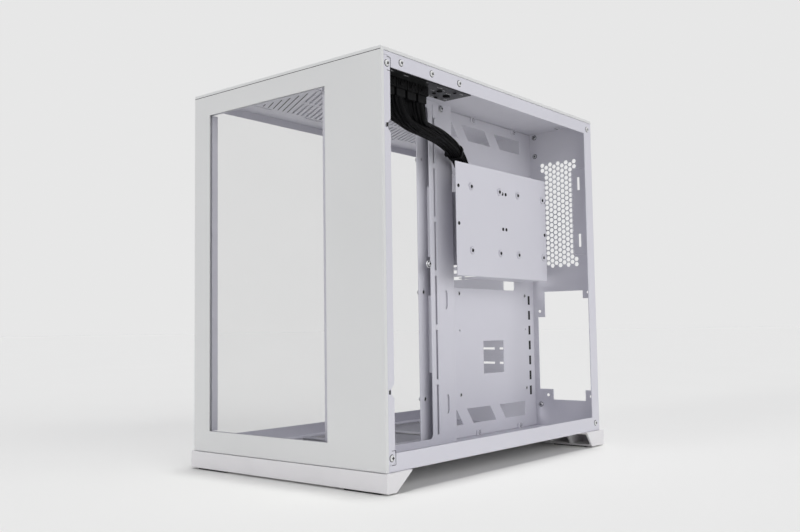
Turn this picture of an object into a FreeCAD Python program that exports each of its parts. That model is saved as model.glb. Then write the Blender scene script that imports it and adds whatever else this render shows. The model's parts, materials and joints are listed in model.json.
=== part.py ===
import FreeCAD, Part
import math
import os

os.makedirs("parts", exist_ok=True)
V = FreeCAD.Vector

# A dual chamber computer case, in millimetres. X runs across to the open right-hand side, Y runs
# from the front to the back and Z is up. The origin is the middle of the footprint, on the floor.

# Overall sizes
BODY_WIDTH = 285.0
BODY_DEPTH = 436.0
CASE_HEIGHT = 430.0
BASE_HEIGHT = 20.0
BASE_SIDE_LIP = 2.7
BASE_FRONT_LIP = 2.0
BASE_REAR_LIP = 5.0

# Sheet steel and clearances
SHEET = 1.0
BEND = 0.6
GAP = 0.3
HOLE_SIDES = 6
ROUND_SIDES = 16
SEAM = 0.6

# Outer panels
LID_DEPTH = 4.0
LID_SHEET = 1.2
LID_CHAMFER = 0.8
FRONT_DEPTH = 4.0
FRONT_SHEET = 1.2
WINDOW_LEFT_BORDER = 26.5
WINDOW_RIGHT_BORDER = 75.5
WINDOW_TOP_BORDER = 22.8
WINDOW_BOTTOM_BORDER = 23.5
WINDOW_LIP = 8.0
GLASS_LAP = 8.0
SIDE_GLASS = 4.0

# Frame rails and posts, seen from the open side
POST_DEPTH = 13.5
TOP_RAIL = 15.5
BOTTOM_RAIL = 17.5
LEFT_TOP_RAIL = 10.0
LEFT_BOTTOM_RAIL = 14.4
REAR_POST = 20.0
REAR_WRAP = 3.0
POST_TAB_TOP = 5.0
POST_TAB_BOTTOM = 7.0
POST_CORNER = 3.0
CATCH_HEIGHTS = (96.0, 352.0)
CATCH_DEPTH = 4.0
CATCH_TALL = 14.0
CATCH_SLOT = (2.4, 4.5)
CATCH_SLOT_INSET = 5.6

# Chambers
TRAY_FROM_RIGHT = 94.0
TRAY_DEPTH = 260.5
TRAY_FLANGE = 12.0

# Motherboard pattern, from the board's rear and top edges
BOARD_REAR_INSET = 14.2
BOARD_TOP = 361.6
HOLE_COLUMNS = (10.16, 165.1, 237.49)
HOLE_ROWS_REAR = (29.21, 163.83, 288.29)
HOLE_ROWS = (6.35, 163.83, 288.29)
SPARE_HOLE_ROW = 209.55
STANDOFF_HEIGHT = 6.5
STANDOFF_ACROSS = 5.0
STANDOFF_STUB = 3.4

# Openings of the tray, measured from its front edge and from the ground
CPU_FRONT, CPU_REAR = 67.5, 210.5
CPU_LOW, CPU_HIGH = 204.5, 346.0
CPU_ROUND = 3.0
CABLE_HOLE = (132.5, 180.5, 97.0, 138.5)
FRONT_SLOT_LOW = (17.0, 31.5, 103.0, 194.0)
FRONT_SLOT_HIGH = (18.5, 27.5, 240.0, 324.0)
TRUSS_LOW, TRUSS_HIGH = 37.0, 393.0
TRUSS_TALL = 18.8
TRUSS_SLANT = 14.0
TRUSS_STARTS = (36.5, 93.0, 167.5)
TRUSS_LENGTHS = (35.0, 52.0, 64.0)
TIE_SLOT_FIRST = 69.5
TIE_SLOT_PITCH = 20.4
TIE_SLOT_COUNT = 7
TIE_SLOT_FRONT = 246.5
TIE_SLOT = (2.0, 10.5)

# Side fan bracket, whose rear edge lies over the tray
FAN_BRACKET_RISE = 12.0
FAN_BRACKET_FRONT = 16.0
FAN_BRACKET_LAP = 54.8
FAN_PITCH = 105.0
FAN_ROW_INSET = 37.2
FAN_OPENING_INSET = 9.6
FAN_OPENING_LOW = 28.3
FAN_OPENING_TOP_INSET = 9.0
FAN_OPENING_ROUND = 6.0
FAN_SLOT_WIDTH = 4.4
FAN_SLOT_LENGTH = 57.2
FAN_SLOT_PITCH = 63.6
FAN_SLOT_FIRST = 61.1
FAN_SLOT_COUNT = 6
OBLONG_INSET = 18.1
OBLONG_HEIGHTS = (66.2, 189.0)
OBLONG = (7.0, 22.0)

# Drive plate, measured from the tray's front edge
PLATE_FROM_RIGHT = 54.0
PLATE_FRONT = 22.0
PLATE_LENGTH = 206.3
PLATE_LOW = 216.0
PLATE_TALL = 134.5
PLATE_SHELF_FRONT = 76.5
PLATE_SHELF_REAR = 220.5
PLATE_SHELF_DEPTH = 37.0
SSD_HOLES = (61.72, 76.6)
SSD_FRONTS = (52.7, 157.3)
SSD_LOW = 246.9
HDD_HOLES = (95.25, 44.45)
HDD_FRONTS = (26.9, 129.5)
HDD_LOW = 277.5
DRIVE_HOLE = 3.6
BRACKET_LOW, BRACKET_HIGH = 232.0, 322.0
BRACKET_FOOT = 11.0
BRACKET_FRONT = 66.0
BRACKET_REAR = 213.0

# Rear panel
HEX_PITCH = 7.0
HEX_ACROSS = 5.7
HEX_COLUMNS = 7
HEX_LEFT = 68.6
HEX_LOW, HEX_HIGH = 239.0, 379.2
HEX_EARS = 2
REAR_SLOTS_FROM_RIGHT = 20.2
REAR_SLOT_HEIGHTS = (270.7, 347.6)
REAR_SLOT = (3.6, 17.6)
PSU_LOW = 56.8
PSU_FROM_RIGHT = 4.5
PSU_SIZE = (86.0, 150.0)
PSU_HOLE_INSET = 6.0
PSU_HOLE_STEPS = (64.0, 74.0, 114.0, 138.0)
PSU_HOLE = 4.2
PSU_RIM = 3.4
PSU_TAB = 8.0
PSU_PLATE_RISE = 8.0
IO_SIZE = (44.45, 158.75)
IO_FROM_RIGHT = 98.3
IO_LOW = 199.0
SLOT_COUNT = 7
SLOT_PITCH = 20.32
SLOT_TOP = 186.5
SLOT_OPENING = (102.0, 12.2)
SLOT_FROM_RIGHT = 104.0
COVER_SHEET = 0.9
COVER_WIDE = 18.4
COVER_LAP = 4.0
COVER_TAB = 11.0
COVER_HOLES = 2
COVER_HOLE = (26.0, 3.0)
REAR_FAN_FROM_LEFT = 73.0
REAR_FAN_HEIGHT = 277.0
REAR_FAN_ROUND = 58.0
REAR_FAN_SLOT = 4.8
REAR_FAN_SLOT_PITCH = 9.6
REAR_FAN_BRIDGE = 5.0
FAN_HOLE = 4.6

# Ceiling vent: slanting slots between the two rows of radiator slots. What is called an inset is
# measured from the rear face
VENT_LEFT, VENT_RIGHT = 246.5, 151.5
VENT_FRONT, VENT_REAR_INSET = 66.0, 64.0
VENT_PITCH = 8.0
VENT_SLOT = 3.2
VENT_SLOPE = 0.56
VENT_BRIDGE = 5.0
RADIATOR_ROWS = (252.0, 147.0, 127.5)
RADIATOR_SLOTS = ((61.0, 91.0), (146.0, 207.0), (266.0, 327.0))
RADIATOR_SLOT = 2.6

# Floor vent
FLOOR_VENT_LEFT, FLOOR_VENT_RIGHT = 262.0, 131.0
FLOOR_VENT_FRONT, FLOOR_VENT_REAR_INSET = 45.0, 51.0
FLOOR_VENT_BAYS = 3
FLOOR_VENT_BAR = 10.0
FLOOR_ROW = 122.5
FLOOR_ROW_SLOT = (3.0, 34.0)

# Dust filters
FILTER_RIM = 7.0
FILTER_RIB = 3.0
FILTER_TALL = 3.4
FILTER_MESH = 0.4
FILTER_MESH_UP = 1.4
TOP_FILTER_LEFT, TOP_FILTER_RIGHT = 264.0, 118.0
TOP_FILTER_FRONT, TOP_FILTER_REAR_INSET = 50.0, 48.0
FLOOR_FILTER_MARGIN = 8.0

# Feet
FOOT_TOP = 36.8
FOOT_BOTTOM = 12.0
REAR_FOOT_TOP = 41.5
REAR_FOOT_BOTTOM = 27.5
FOOT_WALL = 2.4
FOOT_CELLS = 10
FOOT_EDGE_ROUND = 1.5
PAD_TALL = 1.5
PAD_LONG = 46.0
PAD_INSET = 8.0
PAD_MARGIN = 2.0

# Fasteners
SCREW_SIDES = 8
SCREW_HEAD = 6.0
SCREW_HEAD_TALL = 1.6
SCREW_SHANK = 3.0
SCREW_LONG = 5.0
SCREW_HOLE = 3.6
RAIL_SCREW_FRONTS = (30.8, 81.6, 130.7)
RAIL_SCREW_DROP = 8.0
FRONT_SCREW_INSET = 8.7
FRONT_SCREW_DROP, FRONT_SCREW_RISE = 12.8, 13.5
REAR_SCREW_INSET = 12.0
REAR_SCREW_DROP, REAR_SCREW_RISE = 9.5, 10.0

# Control board and its bracket, under the top rail
IO_BRACKET_FRONT, IO_BRACKET_REAR = 20.0, 164.0
IO_BRACKET_DROP = 10.5
IO_BRACKET_WIDE = 44.0
PCB_FRONT, PCB_REAR = 19.0, 160.0
PCB_NEAR, PCB_FAR = 5.0, 41.0
PCB_THICK = 1.6
PCB_SPACER = 1.6
SPACER_WIDE = 5.0
SPACER_INSET = 4.5
PORT_LINE = 27.0
POWER_FRONT = 36.0
RESET_FRONT = 56.0
USB_FRONTS = (78.0, 96.0)
USB_C_FRONT = 116.0
AUDIO_FRONT = 138.0
POWER_WIDE = 13.0
RESET_WIDE = 6.0
BUTTON_PROUD = 0.6
BUTTON_SKIRT = 1.6
BUTTON_TRAVEL = 1.2
STEM_WIDE = 3.0
SWITCH_WIDE = 6.0
SWITCH_TALL = 4.3
SWITCH_PLUNGER = 0.8
USB_A = (14.0, 6.4)
USB_C = (9.2, 3.6)
AUDIO_WIDE = 7.0
AUDIO_BORE = 3.6
PORT_GAP = 0.4
PORT_RECESS = 0.2
PORT_WALL = 0.8
PORT_BORE_DEEP = 9.0
IO_WINDOW_WIDE = 22.0
IO_WINDOW_MARGIN = 10.0

# Leads of the control board. A place is given as inward from the right side, back from the front
# face, and up. Each lead drops from its socket to the bundle; the bundle runs back, two wide and
# two high, and drops behind the drive plate, where the leads lie side by side on its shelf.
LEAD_DIAMETER = 5.8
LEAD_SIDES = 4
LEAD_PITCH = 6.8
SOCKET_SIZE = (16.0, 17.0, 10.0)
LEAD_DROPS = (
    ((30.4, 38.0, 391.0), (31.4, 44.0, 380.0), (34.2, 60.0, 372.5), (38.5, 90.0, 369.2)),
    ((23.6, 56.0, 391.0), (24.6, 62.0, 380.0), (27.6, 77.5, 372.6), (32.6, 101.0, 369.4)),
    ((30.4, 74.0, 390.2), (32.0, 79.4, 380.9), (35.4, 88.8, 375.8), (39.6, 106.0, 375.4)),
    ((23.6, 92.0, 390.2), (25.4, 97.4, 380.9), (29.6, 106.8, 376.0)),
)
LEAD_COLUMNS = (0, 1, 0, 1)
LEAD_ROWS = (0, 0, 1, 1)
LEAD_LAYERS = (3, 0, 2, 1)
BUNDLE_SLANT = 15.5
BUNDLE_STATIONS = (
    (41.0, 127.6, 372.3, 2.0),
    (51.0, 165.5, 372.0, 4.0),
    (60.0, 198.5, 368.0, 18.0),
    (67.8, 225.5, 358.0, 24.0),
    (73.5, 249.5, 334.0, 62.0),
)
SHELF_DROP = ((259.0, 297.0), (264.0, 252.0), (275.0, 231.5))
SHELF_RUN = (295.0, 314.0)
SHELF_PITCH = 7.0
PLUG_SIZE = (6.4, 24.0, 6.0)
TIE_WIDE = 4.0
TIE_THICK = 1.2
TIE_HEAD = 6.0
TIE_STATIONS = (2, 3)

# Datum planes
RIGHT = BODY_WIDTH / 2
LEFT = -RIGHT
FRONT = BASE_FRONT_LIP - (BASE_FRONT_LIP + BODY_DEPTH + BASE_REAR_LIP) / 2
REAR = FRONT + BODY_DEPTH
FLOOR = BASE_HEIGHT
CEILING = CASE_HEIGHT - LID_DEPTH
INNER_LEFT = LEFT + SIDE_GLASS
INNER_FRONT = FRONT + FRONT_DEPTH + SHEET
INNER_REAR = REAR - SHEET
INNER_FLOOR = FLOOR + SHEET
INNER_CEILING = CEILING - SHEET
TRAY_FRONT = BODY_DEPTH - TRAY_DEPTH
FAN_BRACKET_REAR = TRAY_FRONT + FAN_BRACKET_LAP
VENT_REAR = BODY_DEPTH - VENT_REAR_INSET
FLOOR_VENT_REAR = BODY_DEPTH - FLOOR_VENT_REAR_INSET
TOP_FILTER_REAR = BODY_DEPTH - TOP_FILTER_REAR_INSET


def inward(distance):
    """X of a place that lies this far in from the right-hand side."""
    return RIGHT - distance


def back(distance):
    """Y of a place that lies this far behind the front face."""
    return FRONT + distance


def on_tray(distance):
    """Y of a place that lies this far behind the tray's front edge."""
    return back(TRAY_FRONT + distance)


TRAY = inward(TRAY_FROM_RIGHT)
PLATE = inward(PLATE_FROM_RIGHT)


def rounded(corners, radii):
    """A closed flat outline with each corner rounded by its own radius."""
    count = len(corners)
    points = [V(u, v, 0) for u, v in corners]
    edges = []
    ends = []
    for i, corner in enumerate(points):
        before = (points[i - 1] - corner).normalize()
        after = (points[(i + 1) % count] - corner).normalize()
        if radii[i] <= 0:
            ends.append((corner, corner, None))
            continue
        half = before.getAngle(after) / 2
        reach = radii[i] / math.tan(half)
        middle = corner + (before + after).normalize() * (radii[i] / math.sin(half) - radii[i])
        ends.append((corner + before * reach, corner + after * reach, middle))
    for i, (start, stop, middle) in enumerate(ends):
        if middle is not None:
            edges.append(Part.Arc(start, middle, stop).toShape())
        following = ends[(i + 1) % count][0]
        if stop.distanceToPoint(following) > 1e-6:
            edges.append(Part.LineSegment(stop, following).toShape())
    return Part.Wire(edges)


def outline(corners, radius=0.0):
    return rounded(corners, [radius] * len(corners))


def rectangle(u0, u1, v0, v1, radius=0.0):
    return outline(((u0, v0), (u1, v0), (u1, v1), (u0, v1)), radius)


def bar(u, v, wide, tall):
    """A slot with square ends about its middle."""
    return rectangle(u - wide / 2, u + wide / 2, v - tall / 2, v + tall / 2)


def oblong(u, v, wide, tall):
    """An upright hole with chamfered ends."""
    side, end = wide / 2, tall / 2
    shoulder = end - side
    return outline(
        (
            (u - side / 2, v - end),
            (u + side / 2, v - end),
            (u + side, v - shoulder),
            (u + side, v + shoulder),
            (u + side / 2, v + end),
            (u - side / 2, v + end),
            (u - side, v + shoulder),
            (u - side, v - shoulder),
        )
    )


def many_sided(u, v, diameter, sides):
    """A polygon for a small round detail, its corners on the circle of this diameter."""
    radius = diameter / 2
    turns = [2 * math.pi * (i + 0.5) / sides for i in range(sides)]
    return outline([(u + radius * math.cos(t), v + radius * math.sin(t)) for t in turns])


def circle(u, v, diameter):
    """The outline of a small screw hole, as a polygon."""
    return many_sided(u, v, diameter, HOLE_SIDES)


def bore(u, v, diameter):
    """The true circle of a hole that the power supply is screwed to."""
    return Part.Wire(Part.Circle(V(u, v, 0), V(0, 0, 1), diameter / 2).toShape())


def hexagon(u, v, across):
    radius = across / math.sqrt(3)
    turns = [math.radians(60 * i) for i in range(6)]
    return outline([(u + radius * math.cos(t), v + radius * math.sin(t)) for t in turns])


def placed(shape, normal, at, thickness):
    """Moves a blank that was drawn flat so that it lies across an axis from at to at + thickness."""
    if normal == "x":
        turn = FreeCAD.Rotation(V(0, 1, 0), V(0, 0, 1), V(1, 0, 0), "ZXY")
        base = V(at, 0, 0)
    elif normal == "y":
        turn = FreeCAD.Rotation(V(1, 0, 0), 90)
        base = V(0, at + thickness, 0)
    else:
        turn = FreeCAD.Rotation()
        base = V(0, 0, at)
    shape.Placement = FreeCAD.Placement(base, turn)
    return shape


def blank(normal, at, thickness, outer, holes=()):
    """A flat sheet across an axis, with holes through it."""
    face = Part.makeFace([outer, *holes], "Part::FaceMakerBullseye")
    return placed(face.extrude(V(0, 0, thickness)), normal, at, thickness)


def punches(normal, at, thickness, holes):
    """Cutters for holes, a little longer than the sheet is thick."""
    over = SHEET
    tools = []
    for hole in holes:
        tool = Part.Face(hole).extrude(V(0, 0, thickness + 2 * over))
        tools.append(placed(tool, normal, at - over, thickness + 2 * over))
    return Part.makeCompound(tools)


def folded(normal, at, length, path, thickness=SHEET):
    """A folded sheet: its section follows path, with the sheet on the left, and runs along an axis."""
    points = [V(u, v, 0) for u, v in path]
    steps = [(b - a).normalize() for a, b in zip(points, points[1:])]
    lefts = [V(-s.y, s.x, 0) for s in steps]
    inner = [points[0] + lefts[0] * thickness]
    radii = [0.0]
    inner_radii = [0.0]
    for i in range(1, len(points) - 1):
        spread = 1 + lefts[i - 1].dot(lefts[i])
        inner.append(points[i] + (lefts[i - 1] + lefts[i]) * (thickness / spread))
        left_turn = steps[i - 1].cross(steps[i]).z > 0
        radii.append(BEND + thickness if left_turn else BEND)
        inner_radii.append(BEND if left_turn else BEND + thickness)
    inner.append(points[-1] + lefts[-1] * thickness)
    radii.append(0.0)
    inner_radii.append(0.0)
    corners = [(p.x, p.y) for p in points + inner[::-1]]
    wire = rounded(corners, radii + inner_radii[::-1])
    return placed(Part.Face(wire).extrude(V(0, 0, length)), normal, at, length)


def box(x0, x1, y0, y1, z0, z1):
    return Part.makeBox(x1 - x0, y1 - y0, z1 - z0, V(x0, y0, z0))


def save(name, shape):
    shape.exportStep("parts/" + name + ".step")


# Outer panels


def window():
    """The front window as x0, x1, z0, z1."""
    return (
        LEFT + WINDOW_LEFT_BORDER,
        RIGHT - WINDOW_RIGHT_BORDER,
        FLOOR + WINDOW_BOTTOM_BORDER,
        CEILING - WINDOW_TOP_BORDER,
    )


def front_panel():
    low = FLOOR + SEAM
    pan = box(LEFT, RIGHT, FRONT, FRONT + FRONT_DEPTH, low, CEILING)
    hollow = box(
        LEFT + FRONT_SHEET,
        RIGHT - FRONT_SHEET,
        FRONT + FRONT_SHEET,
        FRONT + FRONT_DEPTH,
        low + FRONT_SHEET,
        CEILING - FRONT_SHEET,
    )
    hole = punches("y", FRONT, FRONT_SHEET, [rectangle(*window())])
    return pan.cut(hollow).cut(hole)


def front_glass():
    x0, x1, z0, z1 = window()
    pane = rectangle(x0 - GLASS_LAP, x1 + GLASS_LAP, z0 - GLASS_LAP, z1 + GLASS_LAP)
    return blank("y", FRONT + FRONT_SHEET, FRONT_DEPTH - FRONT_SHEET, pane)


def side_glass():
    front = FRONT + FRONT_DEPTH + SEAM
    pane = rectangle(front, REAR, FLOOR + SEAM, CEILING - SEAM)
    return blank("x", LEFT, SIDE_GLASS, pane)


def port_holes(gap):
    """Outlines of the controls and ports, seen from above, with a gap round each."""
    x = inward(PORT_LINE)
    holes = [
        many_sided(x, back(POWER_FRONT), POWER_WIDE + 2 * gap, ROUND_SIDES),
        many_sided(x, back(RESET_FRONT), RESET_WIDE + 2 * gap, ROUND_SIDES),
        many_sided(x, back(AUDIO_FRONT), AUDIO_WIDE + 2 * gap, ROUND_SIDES),
        oblong(x, back(USB_C_FRONT), USB_C[1] + 2 * gap, USB_C[0] + 2 * gap),
    ]
    for front in USB_FRONTS:
        holes.append(bar(x, back(front), USB_A[1] + 2 * gap, USB_A[0] + 2 * gap))
    return holes


def filter_opening():
    """The lid's filter opening as x0, x1, y0, y1."""
    return (
        inward(TOP_FILTER_LEFT),
        inward(TOP_FILTER_RIGHT),
        back(TOP_FILTER_FRONT),
        back(TOP_FILTER_REAR),
    )


def top_panel():
    lid = box(LEFT, RIGHT, FRONT, REAR, CEILING, CASE_HEIGHT)
    rims = [e for e in lid.Edges if e.BoundBox.ZMin > CASE_HEIGHT - LID_SHEET]
    lid = lid.makeChamfer(LID_CHAMFER, rims)
    hollow = box(
        LEFT + LID_SHEET,
        RIGHT - LID_SHEET,
        FRONT + LID_SHEET,
        REAR - LID_SHEET,
        CEILING,
        CASE_HEIGHT - LID_SHEET,
    )
    holes = port_holes(PORT_GAP) + [rectangle(*filter_opening())]
    return lid.cut(hollow).cut(punches("z", CASE_HEIGHT - LID_SHEET, LID_SHEET, holes))


def filter_pieces(x0, x1, y0, y1, z, bays):
    """A dust filter that lies at z: its ribbed rim, and the mesh that the ribs hold down."""
    rim = blank(
        "z",
        z,
        FILTER_TALL,
        rectangle(x0, x1, y0, y1),
        [rectangle(x0 + FILTER_RIM, x1 - FILTER_RIM, y0 + FILTER_RIM, y1 - FILTER_RIM)],
    )
    mesh_top = z + FILTER_MESH_UP + FILTER_MESH
    inner = (x0 + FILTER_RIM, x1 - FILTER_RIM)
    for i in range(1, bays):
        y = y0 + (y1 - y0) * i / bays
        rib = box(*inner, y - FILTER_RIB / 2, y + FILTER_RIB / 2, mesh_top, z + FILTER_TALL)
        rim = rim.fuse(rib)
    mesh = box(*inner, y0 + FILTER_RIM, y1 - FILTER_RIM, z + FILTER_MESH_UP, mesh_top)
    return rim.removeSplitter(), mesh


def top_filter():
    x0, x1, y0, y1 = filter_opening()
    return filter_pieces(x0 + GAP, x1 - GAP, y0 + GAP, y1 - GAP, CEILING, FLOOR_VENT_BAYS)


def floor_filter():
    return filter_pieces(
        inward(FLOOR_VENT_LEFT) - FLOOR_FILTER_MARGIN,
        inward(FLOOR_VENT_RIGHT) + FLOOR_FILTER_MARGIN,
        back(FLOOR_VENT_FRONT) - FLOOR_FILTER_MARGIN,
        back(FLOOR_VENT_REAR) + FLOOR_FILTER_MARGIN,
        FLOOR - FILTER_TALL,
        FLOOR_VENT_BAYS,
    )


# Frame


def post_tab():
    """The height range of the front posts' flanges."""
    return FLOOR + POST_TAB_BOTTOM, CEILING - POST_TAB_TOP


def post_outline(gap):
    """A front post's flange, seen from the side, with its two free corners cut off."""
    low, high = post_tab()
    rear = back(POST_DEPTH) + gap
    low, high = low - gap, high + gap
    return outline(
        (
            (FRONT, low),
            (rear - POST_CORNER, low),
            (rear, low + POST_CORNER),
            (rear, high - POST_CORNER),
            (rear - POST_CORNER, high),
            (FRONT, high),
        )
    )


def post_notches():
    """Room that both rails leave for the flanges of the front posts."""
    tools = []
    for x in (INNER_LEFT, RIGHT - SHEET):
        tool = blank(
            "x",
            x - SHEET,
            3 * SHEET,
            post_outline(GAP),
        )
        tools.append(tool)
    return Part.makeCompound(tools)


def corner_screws():
    """Places behind the front face and heights of the four screws at the open side's corners."""
    rear = BODY_DEPTH - REAR_SCREW_INSET
    return [
        (FRONT_SCREW_INSET, CEILING - FRONT_SCREW_DROP),
        (FRONT_SCREW_INSET, FLOOR + FRONT_SCREW_RISE),
        (rear, CEILING - REAR_SCREW_DROP),
        (rear, FLOOR + REAR_SCREW_RISE),
    ]


def screw_holes(places):
    return punches("x", RIGHT - SHEET, SHEET, [circle(back(y), z, SCREW_HOLE) for y, z in places])


def chassis_bottom():
    path = (
        (INNER_LEFT, FLOOR + LEFT_BOTTOM_RAIL),
        (INNER_LEFT, FLOOR),
        (RIGHT, FLOOR),
        (RIGHT, FLOOR + BOTTOM_RAIL),
    )
    pan = folded("y", INNER_FRONT, INNER_REAR - INNER_FRONT, path)
    bay = (FLOOR_VENT_REAR - FLOOR_VENT_FRONT - (FLOOR_VENT_BAYS - 1) * FLOOR_VENT_BAR) / FLOOR_VENT_BAYS
    holes = []
    for i in range(FLOOR_VENT_BAYS):
        front = back(FLOOR_VENT_FRONT + i * (bay + FLOOR_VENT_BAR))
        holes.append(
            rectangle(inward(FLOOR_VENT_LEFT), inward(FLOOR_VENT_RIGHT), front, front + bay)
        )
        for share in (0.2, 0.8):
            holes.append(bar(inward(FLOOR_ROW), front + share * bay, *FLOOR_ROW_SLOT))
    pan = pan.cut(punches("z", FLOOR, SHEET, holes)).cut(post_notches())
    return pan.cut(screw_holes(corner_screws()))


def vent_slots():
    """Slanting slots of the ceiling vent, each in two lengths."""
    holes = []
    left, right = inward(VENT_LEFT), inward(VENT_RIGHT)
    middle = (left + right) / 2
    runs = ((left, middle - VENT_BRIDGE / 2), (middle + VENT_BRIDGE / 2, right))
    fall = VENT_SLOPE * (right - left)
    count = int((VENT_REAR - VENT_FRONT - VENT_SLOT - fall) // VENT_PITCH) + 1
    for i in range(count):
        start = back(VENT_FRONT) + fall + i * VENT_PITCH
        for x0, x1 in runs:
            y0 = start - VENT_SLOPE * (x0 - left)
            y1 = start - VENT_SLOPE * (x1 - left)
            holes.append(outline(((x0, y0), (x1, y1), (x1, y1 + VENT_SLOT), (x0, y0 + VENT_SLOT))))
    return holes


def io_window(spread=0.0):
    """The opening for the controls and ports, through the ceiling and their bracket."""
    return rectangle(
        inward(PORT_LINE) - IO_WINDOW_WIDE / 2 - spread,
        inward(PORT_LINE) + IO_WINDOW_WIDE / 2 + spread,
        back(POWER_FRONT) - IO_WINDOW_MARGIN - spread,
        back(AUDIO_FRONT) + IO_WINDOW_MARGIN + spread,
    )


def rail_screws():
    return [(front, CEILING - RAIL_SCREW_DROP) for front in RAIL_SCREW_FRONTS]


def chassis_top():
    path = (
        (RIGHT, CEILING - TOP_RAIL),
        (RIGHT, CEILING),
        (INNER_LEFT, CEILING),
        (INNER_LEFT, CEILING - LEFT_TOP_RAIL),
    )
    pan = folded("y", INNER_FRONT, INNER_REAR - INNER_FRONT, path)
    holes = vent_slots() + [io_window()]
    for row in RADIATOR_ROWS:
        for front, rear in RADIATOR_SLOTS:
            holes.append(bar(inward(row), back((front + rear) / 2), RADIATOR_SLOT, rear - front))
    pan = pan.cut(punches("z", INNER_CEILING, SHEET, holes)).cut(post_notches())
    return pan.cut(screw_holes([*rail_screws(), *corner_screws()]))


def front_frame():
    path = (
        (INNER_LEFT, back(POST_DEPTH)),
        (INNER_LEFT, FRONT + FRONT_DEPTH),
        (RIGHT, FRONT + FRONT_DEPTH),
        (RIGHT, back(POST_DEPTH)),
    )
    frame = folded("z", FLOOR, CEILING - FLOOR, path)
    depth = (INNER_FRONT, back(POST_DEPTH) + SHEET)
    around = box(LEFT, RIGHT + SHEET, *depth, FLOOR - SHEET, CEILING + SHEET)
    tab = blank("x", LEFT - SHEET, BODY_WIDTH + 3 * SHEET, post_outline(0.0))
    frame = frame.cut(around.cut(tab))
    frame = frame.cut(punches("y", FRONT + FRONT_DEPTH, SHEET, [rectangle(*window())]))
    x0, x1, z0, z1 = window()
    lip = box(x0 - SHEET, x0, INNER_FRONT - SHEET, INNER_FRONT - SHEET + WINDOW_LIP, z0, z1)
    frame = frame.fuse(lip).removeSplitter()
    catches = []
    rear = back(POST_DEPTH)
    for height in CATCH_HEIGHTS:
        half = CATCH_TALL / 2
        catches.append(
            outline(
                (
                    (rear + SHEET, height - half),
                    (rear, height - half),
                    (rear - CATCH_DEPTH, height - half + CATCH_DEPTH),
                    (rear - CATCH_DEPTH, height + half - CATCH_DEPTH),
                    (rear, height + half),
                    (rear + SHEET, height + half),
                )
            )
        )
        catches.append(bar(rear - CATCH_DEPTH - CATCH_SLOT_INSET / 2, height, *CATCH_SLOT))
    frame = frame.cut(punches("x", RIGHT - SHEET, SHEET, catches))
    return frame.cut(screw_holes(corner_screws()))


# Rear panel


def hex_vent():
    holes = []
    column_pitch = HEX_PITCH * math.sqrt(3) / 2
    rows = int((HEX_HIGH - HEX_LOW) / HEX_PITCH + 0.5) + 1
    for column in range(-1, HEX_COLUMNS + 1):
        x = inward(HEX_LEFT) + column * column_pitch
        edge = column in (-1, HEX_COLUMNS)
        offset = 0.0 if column % 2 else HEX_PITCH / 2
        last = rows - 1 if column % 2 == 0 else rows
        for row in range(last):
            if edge and HEX_EARS <= row < last - HEX_EARS:
                continue
            holes.append(hexagon(x, HEX_LOW + offset + row * HEX_PITCH, HEX_ACROSS))
    return holes


def psu_holes():
    """The four screws of the power supply, which stands on its edge."""
    right = inward(PSU_FROM_RIGHT + PSU_HOLE_INSET)
    low = PSU_LOW + PSU_HOLE_INSET
    near, far, step, tall = PSU_HOLE_STEPS
    return ((right, low), (right - near, low), (right - far, low + step), (right, low + tall))


def psu_opening():
    """The power supply's opening, with a tab left at each of its screws."""
    x1 = inward(PSU_FROM_RIGHT) - PSU_RIM
    x0 = inward(PSU_FROM_RIGHT + PSU_SIZE[0]) + PSU_RIM
    z0, z1 = PSU_LOW, PSU_LOW + PSU_SIZE[1] - PSU_RIM
    (rx, low), (lx, _), (ux, step), (_, top) = psu_holes()
    corners = (
        (lx + PSU_TAB, z0),
        (rx - PSU_TAB, z0),
        (rx - PSU_TAB, low + PSU_TAB),
        (x1, low + PSU_TAB),
        (x1, top - PSU_TAB),
        (rx - PSU_TAB, top - PSU_TAB),
        (rx - PSU_TAB, z1),
        (ux + PSU_TAB, z1),
        (ux + PSU_TAB, step - PSU_TAB),
        (x0, step - PSU_TAB),
        (x0, low + PSU_TAB),
        (lx + PSU_TAB, low + PSU_TAB),
    )
    return outline(corners)


def slot_height(i):
    return SLOT_TOP - i * SLOT_PITCH


def slot_span():
    """X range of the expansion slots."""
    right = inward(SLOT_FROM_RIGHT)
    return right - SLOT_OPENING[0], right


def cover_screw_x():
    return slot_span()[0] - COVER_TAB / 2


def rear_fan_slots():
    holes = []
    x, z = LEFT + REAR_FAN_FROM_LEFT, REAR_FAN_HEIGHT
    count = int(REAR_FAN_ROUND // REAR_FAN_SLOT_PITCH)
    for i in range(-count, count + 1):
        up = i * REAR_FAN_SLOT_PITCH
        reach = math.sqrt(REAR_FAN_ROUND**2 - up**2)
        if reach < 3 * REAR_FAN_BRIDGE:
            continue
        for near, far in ((-reach, -REAR_FAN_BRIDGE / 2), (REAR_FAN_BRIDGE / 2, reach)):
            holes.append(bar(x + (near + far) / 2, z + up, far - near, REAR_FAN_SLOT))
    half = FAN_PITCH / 2
    for dx in (-half, half):
        for dz in (-half, half):
            holes.append(circle(x + dx, z + dz, FAN_HOLE))
    return holes


def rear_post(path):
    """A corner post: a strip along the side that wraps round onto the rear."""
    post = folded("z", FLOOR, CEILING - FLOOR, path)
    near = REAR - REAR_POST - SHEET
    middle = 0.0
    rails = (
        (middle, RIGHT + SHEET, FLOOR - SHEET, FLOOR + BOTTOM_RAIL),
        (middle, RIGHT + SHEET, CEILING - TOP_RAIL, CEILING + SHEET),
        (LEFT, middle, FLOOR - SHEET, FLOOR + LEFT_BOTTOM_RAIL),
        (LEFT, middle, CEILING - LEFT_TOP_RAIL, CEILING + SHEET),
    )
    for x0, x1, z0, z1 in rails:
        post = post.cut(box(x0, x1, near, INNER_REAR, z0, z1))
    return post


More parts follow.
